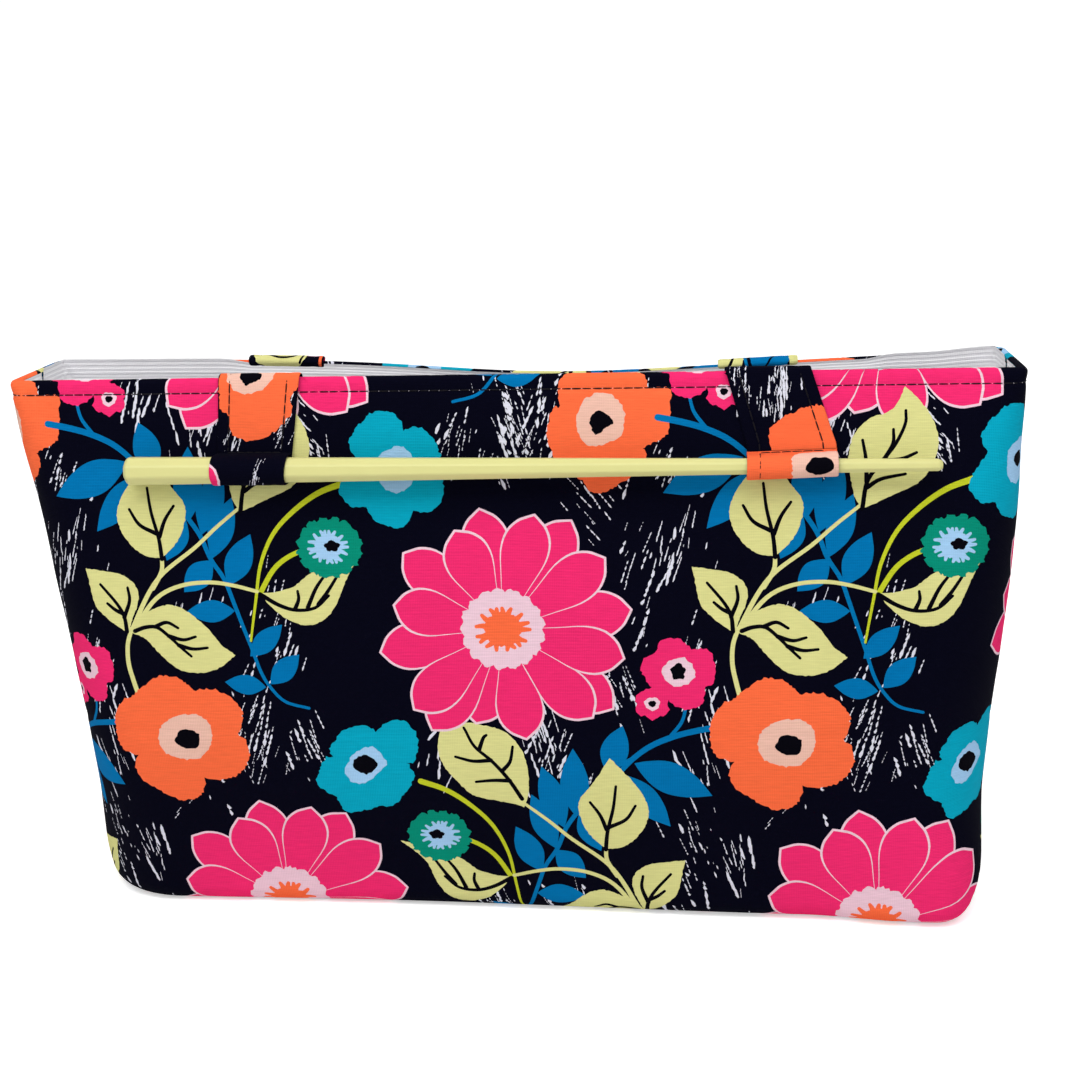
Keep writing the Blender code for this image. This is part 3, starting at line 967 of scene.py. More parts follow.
def printed_cotton():
    nodes = Nodes("printed_cotton", Roughness=0.9, Sheen_Weight=0.004, Sheen_Roughness=0.5,
                  Specular_IOR_Level=0.02)
    uv = nodes.add("UVMap", {"uv_map": "cloth"}).outputs[0]
    ink = nodes.add("Attribute", {"attribute_name": "ink"}).outputs["Color"]
    height = weave_height(nodes, uv)
    slub = nodes.noise(nodes.mapped(uv, (180, 2400, 1)), 1.0, 3.0, 0.6)
    fade = nodes.noise(nodes.mapped(uv, (26, 20, 1)), 1.0, 2.0, 0.5)
    shade = nodes.math("MULTIPLY_ADD", slub, 0.34, 0.78)
    shade = nodes.math("ADD", shade, nodes.math("MULTIPLY", fade, 0.10))
    # Paler on the raised threads of the weave and darker between them: painted shade in the weave's hollows.
    thread = nodes.math("MULTIPLY_ADD", height, 0.05, 1.0)
    tint = nodes.math("MULTIPLY", shade, thread)
    # The ink times the yarn's own uneven tone (slub and fade) and the painted weave shade.
    uneven_and_weave_shaded = nodes.add("Mix", {"data_type": "RGBA", "blend_type": "MULTIPLY"})
    nodes.feed(uneven_and_weave_shaded, 0, 1.0)
    nodes.feed(uneven_and_weave_shaded, 6, ink)
    nodes.feed(uneven_and_weave_shaded, 7, nodes.add("CombineColor", in0=tint, in1=tint, in2=tint).outputs[0])
    nodes.feed(nodes.shader, "Base Color", uneven_and_weave_shaded.outputs[2])
    nodes.feed(nodes.shader, "Normal", nodes.bump(height, 0.00005, 0.6))
    return nodes.material


def white_lining():
    nodes = Nodes("white_lining", Roughness=0.85, Sheen_Weight=0.05, Specular_IOR_Level=0.1)
    uv = nodes.add("UVMap", {"uv_map": "cloth"}).outputs[0]
    parts = nodes.add("SeparateXYZ", Vector=uv)
    fibre = nodes.noise(nodes.mapped(uv, (900, 3000, 1)), 1.0, 3.0, 0.6)
    # Stripes at the rib pitch, one side of each rib paler and the other darker as if lit from above: painted
    # shade on the ribs.
    rib = nodes.math("SINE", nodes.math("MULTIPLY", parts.outputs[1], 2 * math.pi / (RIB_PITCH * MM)))
    tone = nodes.math("ADD", nodes.math("MULTIPLY", fibre, 0.5), nodes.math("MULTIPLY_ADD", rib, 0.25, 0.25))
    # The lining's colour mixes the fibre's own unevenness with the painted rib shade.
    color = nodes.mix(tone, (0.80, 0.79, 0.83, 1.0), (0.93, 0.93, 0.94, 1.0))
    nodes.feed(nodes.shader, "Base Color", color)
    nodes.feed(nodes.shader, "Normal", nodes.bump(weave_height(nodes, uv), 0.00004, 0.5))
    return nodes.material


def thread_material(name, color):
    nodes = Nodes(name, Roughness=0.7, Specular_IOR_Level=0.15)
    nodes.shader.inputs["Base Color"].default_value = (*color, 1.0)
    where = nodes.add("TexCoord").outputs["Object"]
    twist = nodes.add("TexWave", Vector=where, Scale=1400.0, Distortion=1.0).outputs["Fac"]
    nodes.feed(nodes.shader, "Normal", nodes.bump(twist, 0.00004, 0.5))
    return nodes.material


def painted_wood():
    nodes = Nodes("painted_wood", Roughness=0.42, Coat_Weight=0.15, Coat_Roughness=0.3,
                  Specular_IOR_Level=0.3)
    where = nodes.add("TexCoord").outputs["Object"]
    grain = nodes.noise(nodes.mapped(where, (12, 900, 900)), 1.0, 3.0, 0.6)
    blotch = nodes.noise(nodes.mapped(where, (25, 120, 120)), 1.0, 2.0)
    tone = nodes.math("MULTIPLY_ADD", grain, 0.35, nodes.math("MULTIPLY", blotch, 0.4))
    color = nodes.mix(tone, (0.62, 0.60, 0.245, 1.0), (0.54, 0.52, 0.20, 1.0))
    nodes.feed(nodes.shader, "Base Color", color)
    nodes.feed(nodes.shader, "Roughness", nodes.math("MULTIPLY_ADD", grain, 0.2, 0.28))
    nodes.feed(nodes.shader, "Normal", nodes.bump(grain, 0.00006, 0.35))
    return nodes.material


def plain_interlining():
    nodes = Nodes("interlining", Roughness=0.95, Sheen_Weight=0.1)
    where = nodes.add("TexCoord").outputs["Object"]
    fibre = nodes.noise(where, 1600.0, 4.0, 0.7)
    color = nodes.mix(fibre, (0.60, 0.60, 0.58, 1.0), (0.76, 0.76, 0.73, 1.0))
    nodes.feed(nodes.shader, "Base Color", color)
    nodes.feed(nodes.shader, "Normal", nodes.bump(fibre, 0.0001, 0.6))
    return nodes.material


# ---- lining and interlining ----

LINING_DEPTH = 2.9
INTERLINING_DEPTH = 2.0
SEAM_ALLOWANCE = 12.0  # the interlining stops this far under the rim
RIB_PITCH = 1.07
RIB_HEIGHT = 0.16
LINING_TOP = HEIGHT - 0.8


def grid_sheet(name, us, vs, place, material):
    """A rectangular grid of quads, given as triangles, on the surface that place(u, v) gives."""
    u, v = (axis.reshape(-1) for axis in np.meshgrid(us, vs))
    points = place(u, v)
    step = 0.2
    normal = np.cross(place(u + step, v) - place(u - step, v), place(u, v + step) - place(u, v - step))
    normal /= np.maximum(np.linalg.norm(normal, axis=1), 1e-12)[:, None]
    width = len(us)
    first = (np.arange(len(vs) - 1)[:, None] * width + np.arange(width - 1)).reshape(-1)
    quads = np.stack([first, first + 1, first + width + 1, first + width], axis=1)
    mesh = bpy.data.meshes.new(name)
    mesh.from_pydata((points * MM).tolist(), [], quads.tolist())
    layer = mesh.uv_layers.new(name="cloth")
    uv = np.stack([u, v], axis=1)[quads.reshape(-1)] * MM
    layer.data.foreach_set("uv", uv.reshape(-1).astype(np.float32))
    mesh.polygons.foreach_set("use_smooth", [True] * len(mesh.polygons))
    mesh.normals_split_custom_set_from_vertices(normal.tolist())
    mesh.materials.append(material)
    obj = bpy.data.objects.new(name, mesh)
    bpy.context.scene.collection.objects.link(obj)
    return obj


# How far the lining stands in and up over the back rim towards the rim's ends.
PROUD_LINING = (0.9, 1.6)
PROUD_FROM = ((-98.0, -88.0), (110.0, 120.0))


def inner_wall(side, depth, rib_height):
    """The surface of an inner layer: place(u, v) for grid_sheet."""
    back = side == "back"

    def place(u, v):
        rib = rib_height * np.abs(np.cos(math.pi * v / RIB_PITCH))
        flat = wall_point(u, v, back=back, relief_share=0.7) + inward(u, v, back) * (depth + rib)[:, None]
        if back:
            (left_end, left_start), (right_start, right_end) = PROUD_FROM
            x = -flat[:, 0]
            proud = 1 - smooth_step(left_end, left_start, x) + smooth_step(right_start, right_end, x)
            proud *= smooth_step(HEIGHT - 6.0, HEIGHT, v)
            flat += inward(u, v, back) * (PROUD_LINING[0] * proud)[:, None]
            flat[:, 2] += PROUD_LINING[1] * proud
        return turned(flat, back)

    return place


def lining_wall(side, material):
    us = np.linspace(-PANEL_REACH, PANEL_REACH, 111)
    vs = np.append(np.arange(FOLD_RADIUS, LINING_TOP, RIB_PITCH / 4), LINING_TOP)
    return grid_sheet(f"{side}_lining_cloth", us, vs, inner_wall(side, LINING_DEPTH, RIB_HEIGHT), material)


def inward(u, v, back):
    """Level unit vectors from the wall towards the inside."""
    normal = wall_normals(u, np.minimum(v, HEIGHT - 3.0), back=back, relief_share=0.0)
    normal[:, 2] = 0.0
    return -normal / np.linalg.norm(normal, axis=1)[:, None]


def lining_base(side, material):
    """The lining's floor: level, and turned up a little where it meets the walls."""
    back = side == "back"
    columns = np.linspace(-PANEL_REACH, PANEL_REACH, 121)

    def place(u, share):
        foot = np.full_like(u, FOLD_RADIUS)
        edge = wall_point(u, foot, back=back, relief_share=0.0) + inward(u, foot, back) * LINING_DEPTH
        z = LINING_DEPTH + 0.6 + (FOLD_RADIUS - LINING_DEPTH) * (1 - smooth_step(0.0, 0.1, share))
        x = edge[:, 0] * (1 - 0.02 * smooth_step(0.0, 0.1, share))
        return turned(np.stack([x, edge[:, 1] * (1 - share), z], axis=-1), back)

    shares = np.array([0.0, 0.02, 0.05, 0.1, 0.3, 0.5, 0.75, 1.0])
    return grid_sheet(f"{side}_lining_floor", columns, shares, place, material)


def interlining_wall(side, material):
    us = np.linspace(-PANEL_REACH, PANEL_REACH, 101)
    vs = np.linspace(FOLD_RADIUS, HEIGHT - SEAM_ALLOWANCE, 60)
    return grid_sheet(f"{side}_interlining_cloth", us, vs, inner_wall(side, INTERLINING_DEPTH, 0.0), material)


# ---- straps ----


def hanging(down, out):
    """(y, z) on the hanging front strap: down along it, and out from the fold line."""
    sine, cosine = math.sin(HANG_SLOPE), math.cos(HANG_SLOPE)
    return HINGE_Y - down * sine - out * cosine, HINGE_Z - down * cosine + out * sine


def stick_out():
    return FOLD_CLEARANCE + STRAP_THICKNESS + CASING_BORE


TAIL_DEPTH = (LINING_DEPTH + INTERLINING_DEPTH) / 2  # the sewn end lies between these two layers
EDGE_STITCH_INSET = 3.7
STRAP_RELAX = 14.0  # down to here the hanging part follows the rim's bow


def strap_path(size):
    """The strap's middle line as (y, z) points.

    It goes up inside the rim, over it, down behind the stick and up the stick's front.
    """
    radius = CASING_LINE * size
    points = []
    for drop in (12.0, 7.0, 2.6):
        points.append((TAIL_DEPTH - float(half_depth(HEIGHT - drop)), HEIGHT - drop))
    points += [(-18.1, HEIGHT - 1.0), (-17.9, HEIGHT - 0.1), (-18.6, HEIGHT + 0.8), (-20.2, HEIGHT + 1.15)]
    points += [(-21.6, HEIGHT + 0.6)]
    line = FOLD_CLEARANCE + STRAP_THICKNESS / 2
    center = (HANG_LENGTH, stick_out())
    behind = center[1] - radius
    points += [hanging(down, line) for down in (3.0, 8.0, 14.0, 19.0)]
    points.append(hanging(HANG_LENGTH - 5.0, (line + behind) / 2))
    shut = (-CASING_CLOSE * size, behind + PRESSED_THICKNESS + 0.1 - center[1])
    tangent = math.acos(radius / math.hypot(*shut)) - math.atan2(-shut[1], -shut[0])
    sweep = 1.5 * math.pi - tangent
    for step in range(13):
        turn = sweep * step / 12
        points.append(hanging(center[0] + radius * math.sin(turn), center[1] - radius * math.cos(turn)))
    points.append(hanging(center[0] + shut[0], center[1] + shut[1]))
    points.append(hanging(center[0] + shut[0] - CASING_HEM, center[1] + shut[1]))
    return spline(points, steps=6)


class StrapForm:
    """A flat tube of cloth along the strap's path. (s, t): s runs round the tube, t along it.

    s from -half to half is the face that shows while the strap hangs.
    From half to 3 half is the face that shows on the casing.
    """

    def __init__(self, side, hand):
        self.back = side == "back"
        made_from = ("right" if hand == "left" else "left") if self.back else hand
        self.middle = STRAP_REACH * (1 if made_from == "right" else -1)
        plain = (0.0, STRAP_SPLAY[made_from], 1.0, 0.0)
        self.shift, self.splay, self.casing_width, self.tilt = plain if self.back else STRAP_DRAW[hand]
        self.splay_end = 1.0 if self.back else SPLAY_END[hand]
        self.casing_line = CASING_LINE * CASING_SIZE[made_from]
        self.path = strap_path(CASING_SIZE[made_from])
        steps = np.linalg.norm(np.diff(self.path, axis=0), axis=1)
        self.reach = np.concatenate([[0.0], np.cumsum(steps)])
        self.length = self.reach[-1]
        tangent = np.gradient(self.path, self.reach, axis=0)
        self.tangent = tangent / np.linalg.norm(tangent, axis=1)[:, None]
        self.half = STRAP_WIDTH / 2
        self.fold = self.reach[np.argmax(self.path[:, 1])]
        lowest = np.argmin(np.where(self.reach > self.fold, self.path[:, 1], HEIGHT))
        self.under = self.reach[lowest]  # where the cloth passes under the stick
        self.casing = self.under - self.casing_line * math.pi / 2
        self.casing_face = self.under + self.casing_line * math.pi / 2

    def thickness(self, t):
        full = smooth_step(self.fold - 2.0, self.fold + 2.0, t) - smooth_step(self.casing - 5.0, self.casing,
                                                                              t)
        return PRESSED_THICKNESS + (STRAP_THICKNESS - PRESSED_THICKNESS) * full

    def point(self, s, t):
        half = self.half
        front = s <= half
        x = np.where(front, s, 2 * half - s)
        edge = np.clip(half - np.abs(x), 0.0, 1.0)
        plump = self.thickness(t) / 2 * np.sqrt(1 - (1 - edge) ** 2)
        seam = np.exp(-(((half - np.abs(x) - EDGE_STITCH_INSET) / 0.7) ** 2))
        plump = plump * (1 - 0.3 * seam)
        side = np.where(front, 1.0, -1.0)
        y, z = (np.interp(t, self.reach, self.path[:, axis]) for axis in (0, 1))
        along_y, along_z = (np.interp(t, self.reach, self.tangent[:, axis]) for axis in (0, 1))
        outside = t > self.fold
        down = np.clip((HINGE_Z - z) / (HANG_LENGTH * math.cos(HANG_SLOPE)), 0.0, 1.15)
        down = np.where(outside, down, 0.0)
        z = z - self.tilt * (-x / half) * smooth_step(0.6, 0.9, down)
        lean = np.minimum(down / self.splay_end, 1.0)
        x = self.middle + self.shift + x * (1 + (self.casing_width - 1) * down) + self.splay * lean
        y = y + side * plump * along_z
        z = z - side * plump * along_y
        if self.back:
            held = np.where(outside, 1 - smooth_step(0.0, STRAP_RELAX, HEIGHT - z), 1.0)
            y, z = y + back_bow(-x, np.minimum(z, HEIGHT)) * held, z - back_sag(-x,
                                                                                np.minimum(z, HEIGHT)) * held
        return np.stack([x, y, z], axis=-1)

    def normals(self, s, t):
        step = 0.1
        last = 3 * self.half
        s = np.clip(s, step - self.half, last - step)
        across = self.point(s + step, t) - self.point(s - step, t)
        along = self.point(s, t + step) - self.point(s, t - step)
        normal = np.cross(along, across)
        return normal / np.maximum(np.linalg.norm(normal, axis=1), 1e-12)[:, None]


def ellipse_outline(center, radii, depth=0.2):
    return ragged(blot(center, radii, 2, 0.05), depth)


def left_strap_face(fold):
    """The lower half of a poppy, with scratches under it."""
    poppy_edge = outline(
        [(-12.2, 4.0), (-12.3, -8.0), (-11.6, -12.0), (-9.2, -13.2)],
        [(-9.2, -13.2), (-8.9, -17.0), (-6.0, -20.6), (-1.0, -21.4), (5.0, -19.6), (9.3, -15.6),
         (11.4, -12.0),
         (10.4, -8.6)],
        [(10.4, -8.6), (12.0, -6.0), (14.0, -5.0)],
        [(14.0, -5.0), (14.0, 4.0)],
        [(14.0, 4.0), (-12.2, 4.0)],
    )
    ring = spline([(-9.6, 3.0), (-10.0, -1.8), (-7.5, -5.8), (-4.0, -7.1), (0.0, -6.3), (3.6, -4.0),
                   (4.9, -0.8),
                   (4.0, 5.0), (-5.0, 6.0)], closed=True)
    heart = spline([(-6.0, -1.0), (-5.2, -3.2), (-3.8, -4.7), (-2.0, -3.8), (0.6, -2.8), (0.9, -1.4),
                    (-1.0, -0.3),
                    (-4.0, -0.2)], closed=True)
    source = random.Random(21)
    marks = scratch_patch(source, (8.0, -19.0), (1.8, 3.4), 26, SCRATCH_LEAN, 0.7)
    marks += scratch_patch(source, (-8.0, -23.0), (2.4, 1.6), 10, SCRATCH_LEAN, 0.8)
    flower = [("orange", ragged(poppy_edge)), ("blush", ragged(ring)), ("black", ragged(heart, 0.2))]
    return [(ink, points - (0.0, fold)) for ink, points in marks + flower]


def left_casing_face(form):
    """Black, with a few scratches and the edge of a petal at its left end."""
    far, middle = 2 * form.half, -form.casing_face
    tip = (far + 14.2, middle + 2.6)
    marks = scratch_patch(random.Random(8), (far - 3.4, middle), (1.3, 2.4), 16, SCRATCH_LEAN, 0.7)
    return [*marks, ("pale pink", ellipse_outline(tip, (4.8, 6.0), 0.1)),
            ("pink", ellipse_outline(tip, (4.0, 5.2), 0.1))]


def right_strap_face(fold):
    """Scratches above the edge of a poppy."""
    source = random.Random(34)
    marks = scratch_patch(source, (3.0, -6.0), (2.0, 3.0), 26, SCRATCH_LEAN, 0.65)
    marks += scratch_patch(source, (-9.0, -8.0), (1.3, 4.0), 22, SCRATCH_LEAN, 0.65)
    marks += scratch_patch(source, (-2.0, -13.0), (2.0, 2.6), 26, SCRATCH_LEAN, 0.65)
    poppy_edge = outline([(14.0, -12.6), (8.7, -12.8), (3.8, -14.4), (-1.7, -17.0), (-4.6, -19.4),
                          (-6.2, -23.6),
                          (-5.5, -26.5)], [(-5.5, -26.5), (-5.0, -36.0)], [(-5.0, -36.0), (14.0, -36.0)],
                         [(14.0, -36.0), (14.0, -12.6)])
    return [(ink, points - (0.0, fold)) for ink, points in marks + [("orange", ragged(poppy_edge))]]


def right_casing_face(form):
    """The same poppy on its other side: its ring and heart at the right."""
    far, middle = 2 * form.half, -form.casing_face
    whole = np.array([(form.half, middle - 20.0), (3 * form.half, middle - 20.0),
                      (3 * form.half, middle + 20.0),
                      (form.half, middle + 20.0)])
    ring = outline([(far - 14.0, middle - 8.0), (far - 7.0, middle - 6.6), (far - 0.6, middle - 4.4),
                    (far + 0.2, middle), (far - 0.4, middle + 9.0)],
                   [(far - 0.4, middle + 9.0), (far - 14.0, middle + 9.0)],
                   [(far - 14.0, middle + 9.0), (far - 14.0, middle - 8.0)])
    heart = blot((far - 7.6, middle - 0.4), (3.9, 2.7), 3, 0.12)
    return [("orange", whole), ("blush", ragged(ring)), ("black", ragged(heart, 0.2))]


def back_fold_prints(hand, fold):
    """What shows of the back straps from the front: their folds over the rim."""
    if hand == "left":
        shapes = [("yellow", ellipse_outline((2.0, -1.0), (9.0, 7.0))),
                  ("black", stroke([(8.0, -2.0), (3.0, 1.0), (-2.0, 0.6), (-4.0, -2.0)], 1.2, 0.9)),
                  ("black", stroke([(-4.6, 3.0), (-5.6, 0.0), (-5.2, -3.0)], 0.8, 0.6)),
                  ("orange", stroke([(-11.4, 4.0), (-11.6, 0.0), (-11.2, -4.0)], 1.0, 0.9))]
    else:
        shapes = [("yellow", ellipse_outline((9.0, 0.0), (4.4, 7.0))),
                  ("black", stroke([(9.4, 4.0), (8.0, 0.0), (9.0, -4.0)], 1.0, 0.8)),
                  ("blue", ellipse_outline((-4.0, 0.0), (6.4, 7.0))),
                  ("black", stroke([(-2.0, 5.0), (-5.0, 0.0), (-9.0, -2.0)], 0.7, 0.6)),
                  ("yellow", ellipse_outline((-11.6, 0.0), (1.8, 6.0)))]
    return [(ink, points - (0.0, fold)) for ink, points in shapes]


# Where the back straps were cut from the print.
BACK_STRAP_SHIFT = {"left": (18.0, 66.0), "right": (-52.0, 12.0)}


def strap_prints(side, hand, form):
    """The shapes on the strap's two faces, in (s, -t)."""
    half = form.half
    if side == "front" and hand == "left":
        return left_strap_face(form.fold), left_casing_face(form)
    if side == "front":
        return right_strap_face(form.fold), right_casing_face(form)
    shift = BACK_STRAP_SHIFT[hand]
    face = [shape for shape in print_shapes((-half, -form.length), (half, 0.0), shift)
            if shape[1][:, 1].max() < -form.fold + 12.0]
    far_face = print_shapes((half, -form.length), (3 * half, 0.0), shift)
    return face + back_fold_prints(hand, form.fold), far_face


def strap_panel(form, first, rows, shapes):
    """One face of the strap, cut along the print's outlines: (points, triangles, inks)."""
    half = form.half
    edge_steps = np.array([0.0, 0.15, 0.4, 0.8, 1.3])
    columns = first + np.concatenate([edge_steps, np.linspace(2.0, 2 * half - 2.0, 13),
                                      (2 * half - edge_steps)[::-1]])
    border = [(s, -form.length) for s in columns] + [(columns[-1], -t) for t in rows[-2:0:-1]]
    border += [(s, 0.0) for s in columns[::-1]] + [(columns[0], -t) for t in rows[1:-1]]
    inner = [(s, -t) for t in rows[1:-1] for s in columns[1:-1]]
    return cut_print(border, inner, placed_inside(shapes, (columns[0], -form.length), (columns[-1], 0.0)))


def strap(side, hand, form, material):
    rows = np.concatenate([np.arange(0.0, form.length, 0.9), [form.length]])
    flats, triangles, inks = [], [], []
    for first, shapes in zip((-form.half, form.half), strap_prints(side, hand, form)):
        flat, corners, panel_inks = strap_panel(form, first, rows, shapes)
        triangles.append(corners + sum(len(part) for part in flats))
        flats.append(flat)
        inks.append(panel_inks)
    flat = np.concatenate(flats)
    s, t = flat[:, 0], -flat[:, 1]
    positions = turned(form.point(s, t), form.back)
    normals = turned(form.normals(s, t), form.back)
    return sheet_object(f"{side}_{hand}_strap_cloth", positions, normals, np.concatenate(triangles),
                        np.concatenate(inks), flat, material)


# ---- sticks ----


STICK_BEVEL = 0.08  # half a bevel, as an angle


def stick(side, material):
    """A tapered stick with flat facets, narrow bevels between them and a rounded-off rim at each end."""
    back = side == "back"
    low, high = box_mm(f"{side}_stick")
    thick_x, thin_x = (high[0], low[0]) if back else (low[0], high[0])
    y, z = hanging(HANG_LENGTH, stick_out())
    outward = -1.0 if back else 1.0
    length = abs(thin_x - thick_x)
    rims = ((0.0, 1.25), (0.35, 0.75), (0.8, 0.3), (1.3, 0.0))
    stations = list(rims) + [(d, 0.0) for d in np.linspace(4.0, length - 4.0, 40)]
    stations += [(length - d, cut * 0.6) for d, cut in reversed(rims)]
    points, faces = [], []
    for along, cut in stations:
        radius = STICK_RADII["thick"] + (STICK_RADII["thin"] - STICK_RADII["thick"]) * along / length - cut
        for i in range(STICK_SIDES):
            corner = STICK_TURN + 2 * math.pi * i / STICK_SIDES
            for angle in (corner - STICK_BEVEL, corner + STICK_BEVEL):
                x = thick_x + math.copysign(along, thin_x - thick_x)
                points.append((x, outward * (y + radius * math.cos(angle)), z + radius * math.sin(angle)))
    ring = 2 * STICK_SIDES
    for first in range(0, ring * (len(stations) - 1), ring):
        for i in range(ring):
            j = (i + 1) % ring
            faces.append((first + i, first + j, first + ring + j, first + ring + i))
    faces.append(tuple(range(ring)))
    faces.append(tuple(range(ring * (len(stations) - 1), ring * len(stations))))
    mesh = bpy.data.meshes.new(f"{side}_painted_stick")
    mesh.from_pydata([tuple(value * MM for value in point) for point in points], [], faces)
    bm = bmesh.new()
    bm.from_mesh(mesh)
    bmesh.ops.recalc_face_normals(bm, faces=bm.faces)
    bm.to_mesh(mesh)
    bm.free()
    mesh.shade_smooth()
    mesh.set_sharp_from_angle(angle=math.radians(10))
    mesh.materials.append(material)
    obj = bpy.data.objects.new(f"{side}_painted_stick", mesh)
    bpy.context.scene.collection.objects.link(obj)
    return obj


# ---- stitches ----


def capsule_mesh(starts, ends, outs, radius, arch):
    """Short threads from start to end, arched a little along out; six-sided with domed ends."""
    points, faces = [], []
    sections = ((0.0, 0.45), (0.1, 0.85), (0.3, 1.0), (0.7, 1.0), (0.9, 0.85), (1.0, 0.45))
    for start, end, out in zip(starts, ends, outs):
        along = end - start
        way = along / np.linalg.norm(along)
        side = np.cross(way, out)
        first = len(points)
        for share, size in sections:
            center = start + along * share + out * arch * math.sin(math.pi * share)
            for i in range(6):
                turn = math.pi / 3 * i
                points.append(center + (side * math.cos(turn) + out * math.sin(turn)) * radius * size)
        for r in range(len(sections) - 1):
            for i in range(6):
                j = (i + 1) % 6
                a, b = first + r * 6, first + (r + 1) * 6
                faces.append((a + i, a + j, b + j, b + i))
        faces.append(tuple(first + i for i in reversed(range(6))))
        faces.append(tuple(first + (len(sections) - 1) * 6 + i for i in range(6)))
    return points, faces


def thread_object(name, points, faces, material):
    mesh = bpy.data.meshes.new(name)
    mesh.from_pydata([tuple(p * MM) for p in points], [], faces)
    mesh.shade_smooth()
    mesh.materials.append(material)
    obj = bpy.data.objects.new(name, mesh)
    bpy.context.scene.collection.objects.link(obj)
    return obj


THREAD_RADIUS = 0.21
DOT_RADIUS = 0.13


def rim_stitches(side, thread, dots):
    """The topstitching round the rim, and the under thread that shows as a dot at each needle hole."""
    back = side == "back"
    count = int(2 * PANEL_REACH / STITCH_PITCH)
    us = (np.arange(count) - (count - 1) / 2) * STITCH_PITCH

    def at(u, lift):
        v = np.full_like(u, STITCH_HEIGHT)
        return turned(wall_point(u, v, back=back) + wall_normals(u, v, back=back) * lift, back)

    outs = turned(wall_normals(us, np.full_like(us, STITCH_HEIGHT), back=back), back)
    reach = STITCH_PITCH * 0.45
    run = capsule_mesh(at(us - reach, 0.05), at(us + reach, 0.05), outs, THREAD_RADIUS, 0.1)
    holes = us + STITCH_PITCH / 2
    spots = capsule_mesh(at(holes - 0.1, 0.1), at(holes + 0.1, 0.1), outs, DOT_RADIUS, 0.02)
    return [
        thread_object(f"{side}_rim_stitches", *run, thread),
        thread_object(f"{side}_rim_stitch_dots", *spots, dots),
    ]


def strap_stitches(side, hand, form, thread):
    """Two rows down the strap, one along the casing's seam and, on the right straps only, one up the end of
    the casing.
    """
    inset = form.half - EDGE_STITCH_INSET
    far = 2 * form.half
    seam = form.length - 1.0
    lines = [((x, form.fold + 0.6), (x, form.casing - 3.0)) for x in (-inset, inset)]
    lines += [((far - inset, seam), (far + inset, seam))]
    if hand == "right":
        lines += [((far + inset, form.under), (far + inset, seam - 0.6))]
    starts, ends, outs = [], [], []
    for first, last in lines:
        first, last = np.array(first), np.array(last)
        count = max(1, round(np.linalg.norm(last - first) / STITCH_PITCH))
        for i in range(count):
            for share, group in ((0.04, starts), (0.96, ends), (0.5, outs)):
                group.append(first + (last - first) * (i + share) / count)
    starts, ends, middles = (np.array(group) for group in (starts, ends, outs))

    def at(spots, lift):
        s, t = spots[:, 0], spots[:, 1]
        return turned(form.point(s, t) + form.normals(s, t) * lift, form.back)

    outs = turned(form.normals(middles[:, 0], middles[:, 1]), form.back)
    made = capsule_mesh(at(starts, 0.05), at(ends, 0.05), outs, THREAD_RADIUS, 0.08)
    return thread_object(f"{side}_{hand}_strap_stitches", *made, thread)


# ---- stage ----


CAMERA_AT = (60.2, -512.6, 256.2)
CAMERA_YAW, CAMERA_PITCH, CAMERA_ROLL = (math.radians(a) for a in (5.93, 15.33, -1.77))
FOCAL_SHARE = 1654 / 1080  # focal length over image width


def add_camera():
    data = bpy.data.cameras.new("camera")
    data.sensor_width = 36.0
    data.lens = 36.0 * FOCAL_SHARE
    data.clip_start = 0.01
    camera = bpy.data.objects.new("camera", data)
    yaw, pitch, roll = CAMERA_YAW, CAMERA_PITCH, CAMERA_ROLL
    forward = Vector((-math.sin(yaw), math.cos(yaw), 0.0))
    right = Vector((math.cos(yaw), math.sin(yaw), 0.0))
    up = Vector((0.0, 0.0, 1.0))
    looking = forward * math.cos(pitch) - up * math.sin(pitch)
    upright = up * math.cos(pitch) + forward * math.sin(pitch)
    across = right * math.cos(roll) + upright * math.sin(roll)
    top = upright * math.cos(roll) - right * math.sin(roll)
    turn = Matrix((across, top, -looking)).transposed()
    camera.matrix_world = Matrix.Translation(Vector(CAMERA_AT) * MM) @ turn.to_4x4()
    bpy.context.scene.collection.objects.link(camera)
    bpy.context.scene.camera = camera


# Each soft light: name, place, size and power, all in metres and watts.
LIGHT_TARGET = (0.0, 0.0, 0.1)
AREA_LIGHTS = (
    ("overhead", (0.0, -0.30, 0.60), (0.8, 0.3), 2.9),
    ("front", (-0.5, -1.6, 0.9), (1.2, 1.0), 2.3),
    ("behind", (0.4, 1.6, 1.2), (1.2, 1.0), 4.0),
)


def add_area_light(name, place, size, power):
    data = bpy.data.lights.new(name, "AREA")
    data.shape = "RECTANGLE"
    data.size, data.size_y = size
    data.energy = power
    light = bpy.data.objects.new(name, data)
    light.location = place
    aim = Vector(LIGHT_TARGET) - Vector(place)
    light.rotation_euler = aim.to_track_quat("-Z", "Y").to_euler()
    light.visible_camera = False
    bpy.context.scene.collection.objects.link(light)


FLOOR_GLOW = 0.45  # seen by the camera only, so that the floor looks as white as the backdrop


def floor_material():
    nodes = Nodes("floor", Roughness=0.95, Specular_IOR_Level=0.0)
    where = nodes.add("TexCoord").outputs["Object"]
    grain = nodes.noise(where, 300.0)
    color = nodes.mix(grain, (0.97, 0.97, 0.97, 1.0), (0.99, 0.99, 0.99, 1.0))
    nodes.feed(nodes.shader, "Base Color", color)
    seen = nodes.add("LightPath").outputs["Is Camera Ray"]
    nodes.shader.inputs["Emission Color"].default_value = (1.0, 1.0, 1.0, 1.0)
    nodes.feed(nodes.shader, "Emission Strength", nodes.math("MULTIPLY", seen, FLOOR_GLOW))
    return nodes.material


FLOOR_RINGS = (0.0, 0.5, 1.0, 2.0, 3.0)  # metres from the bag
FLOOR_RISE = 1.2  # the radius in which the floor curves up past its last ring
FLOOR_SIDES = 64
FLOOR_DROP = 0.0003  # the floor lies this far under the bag


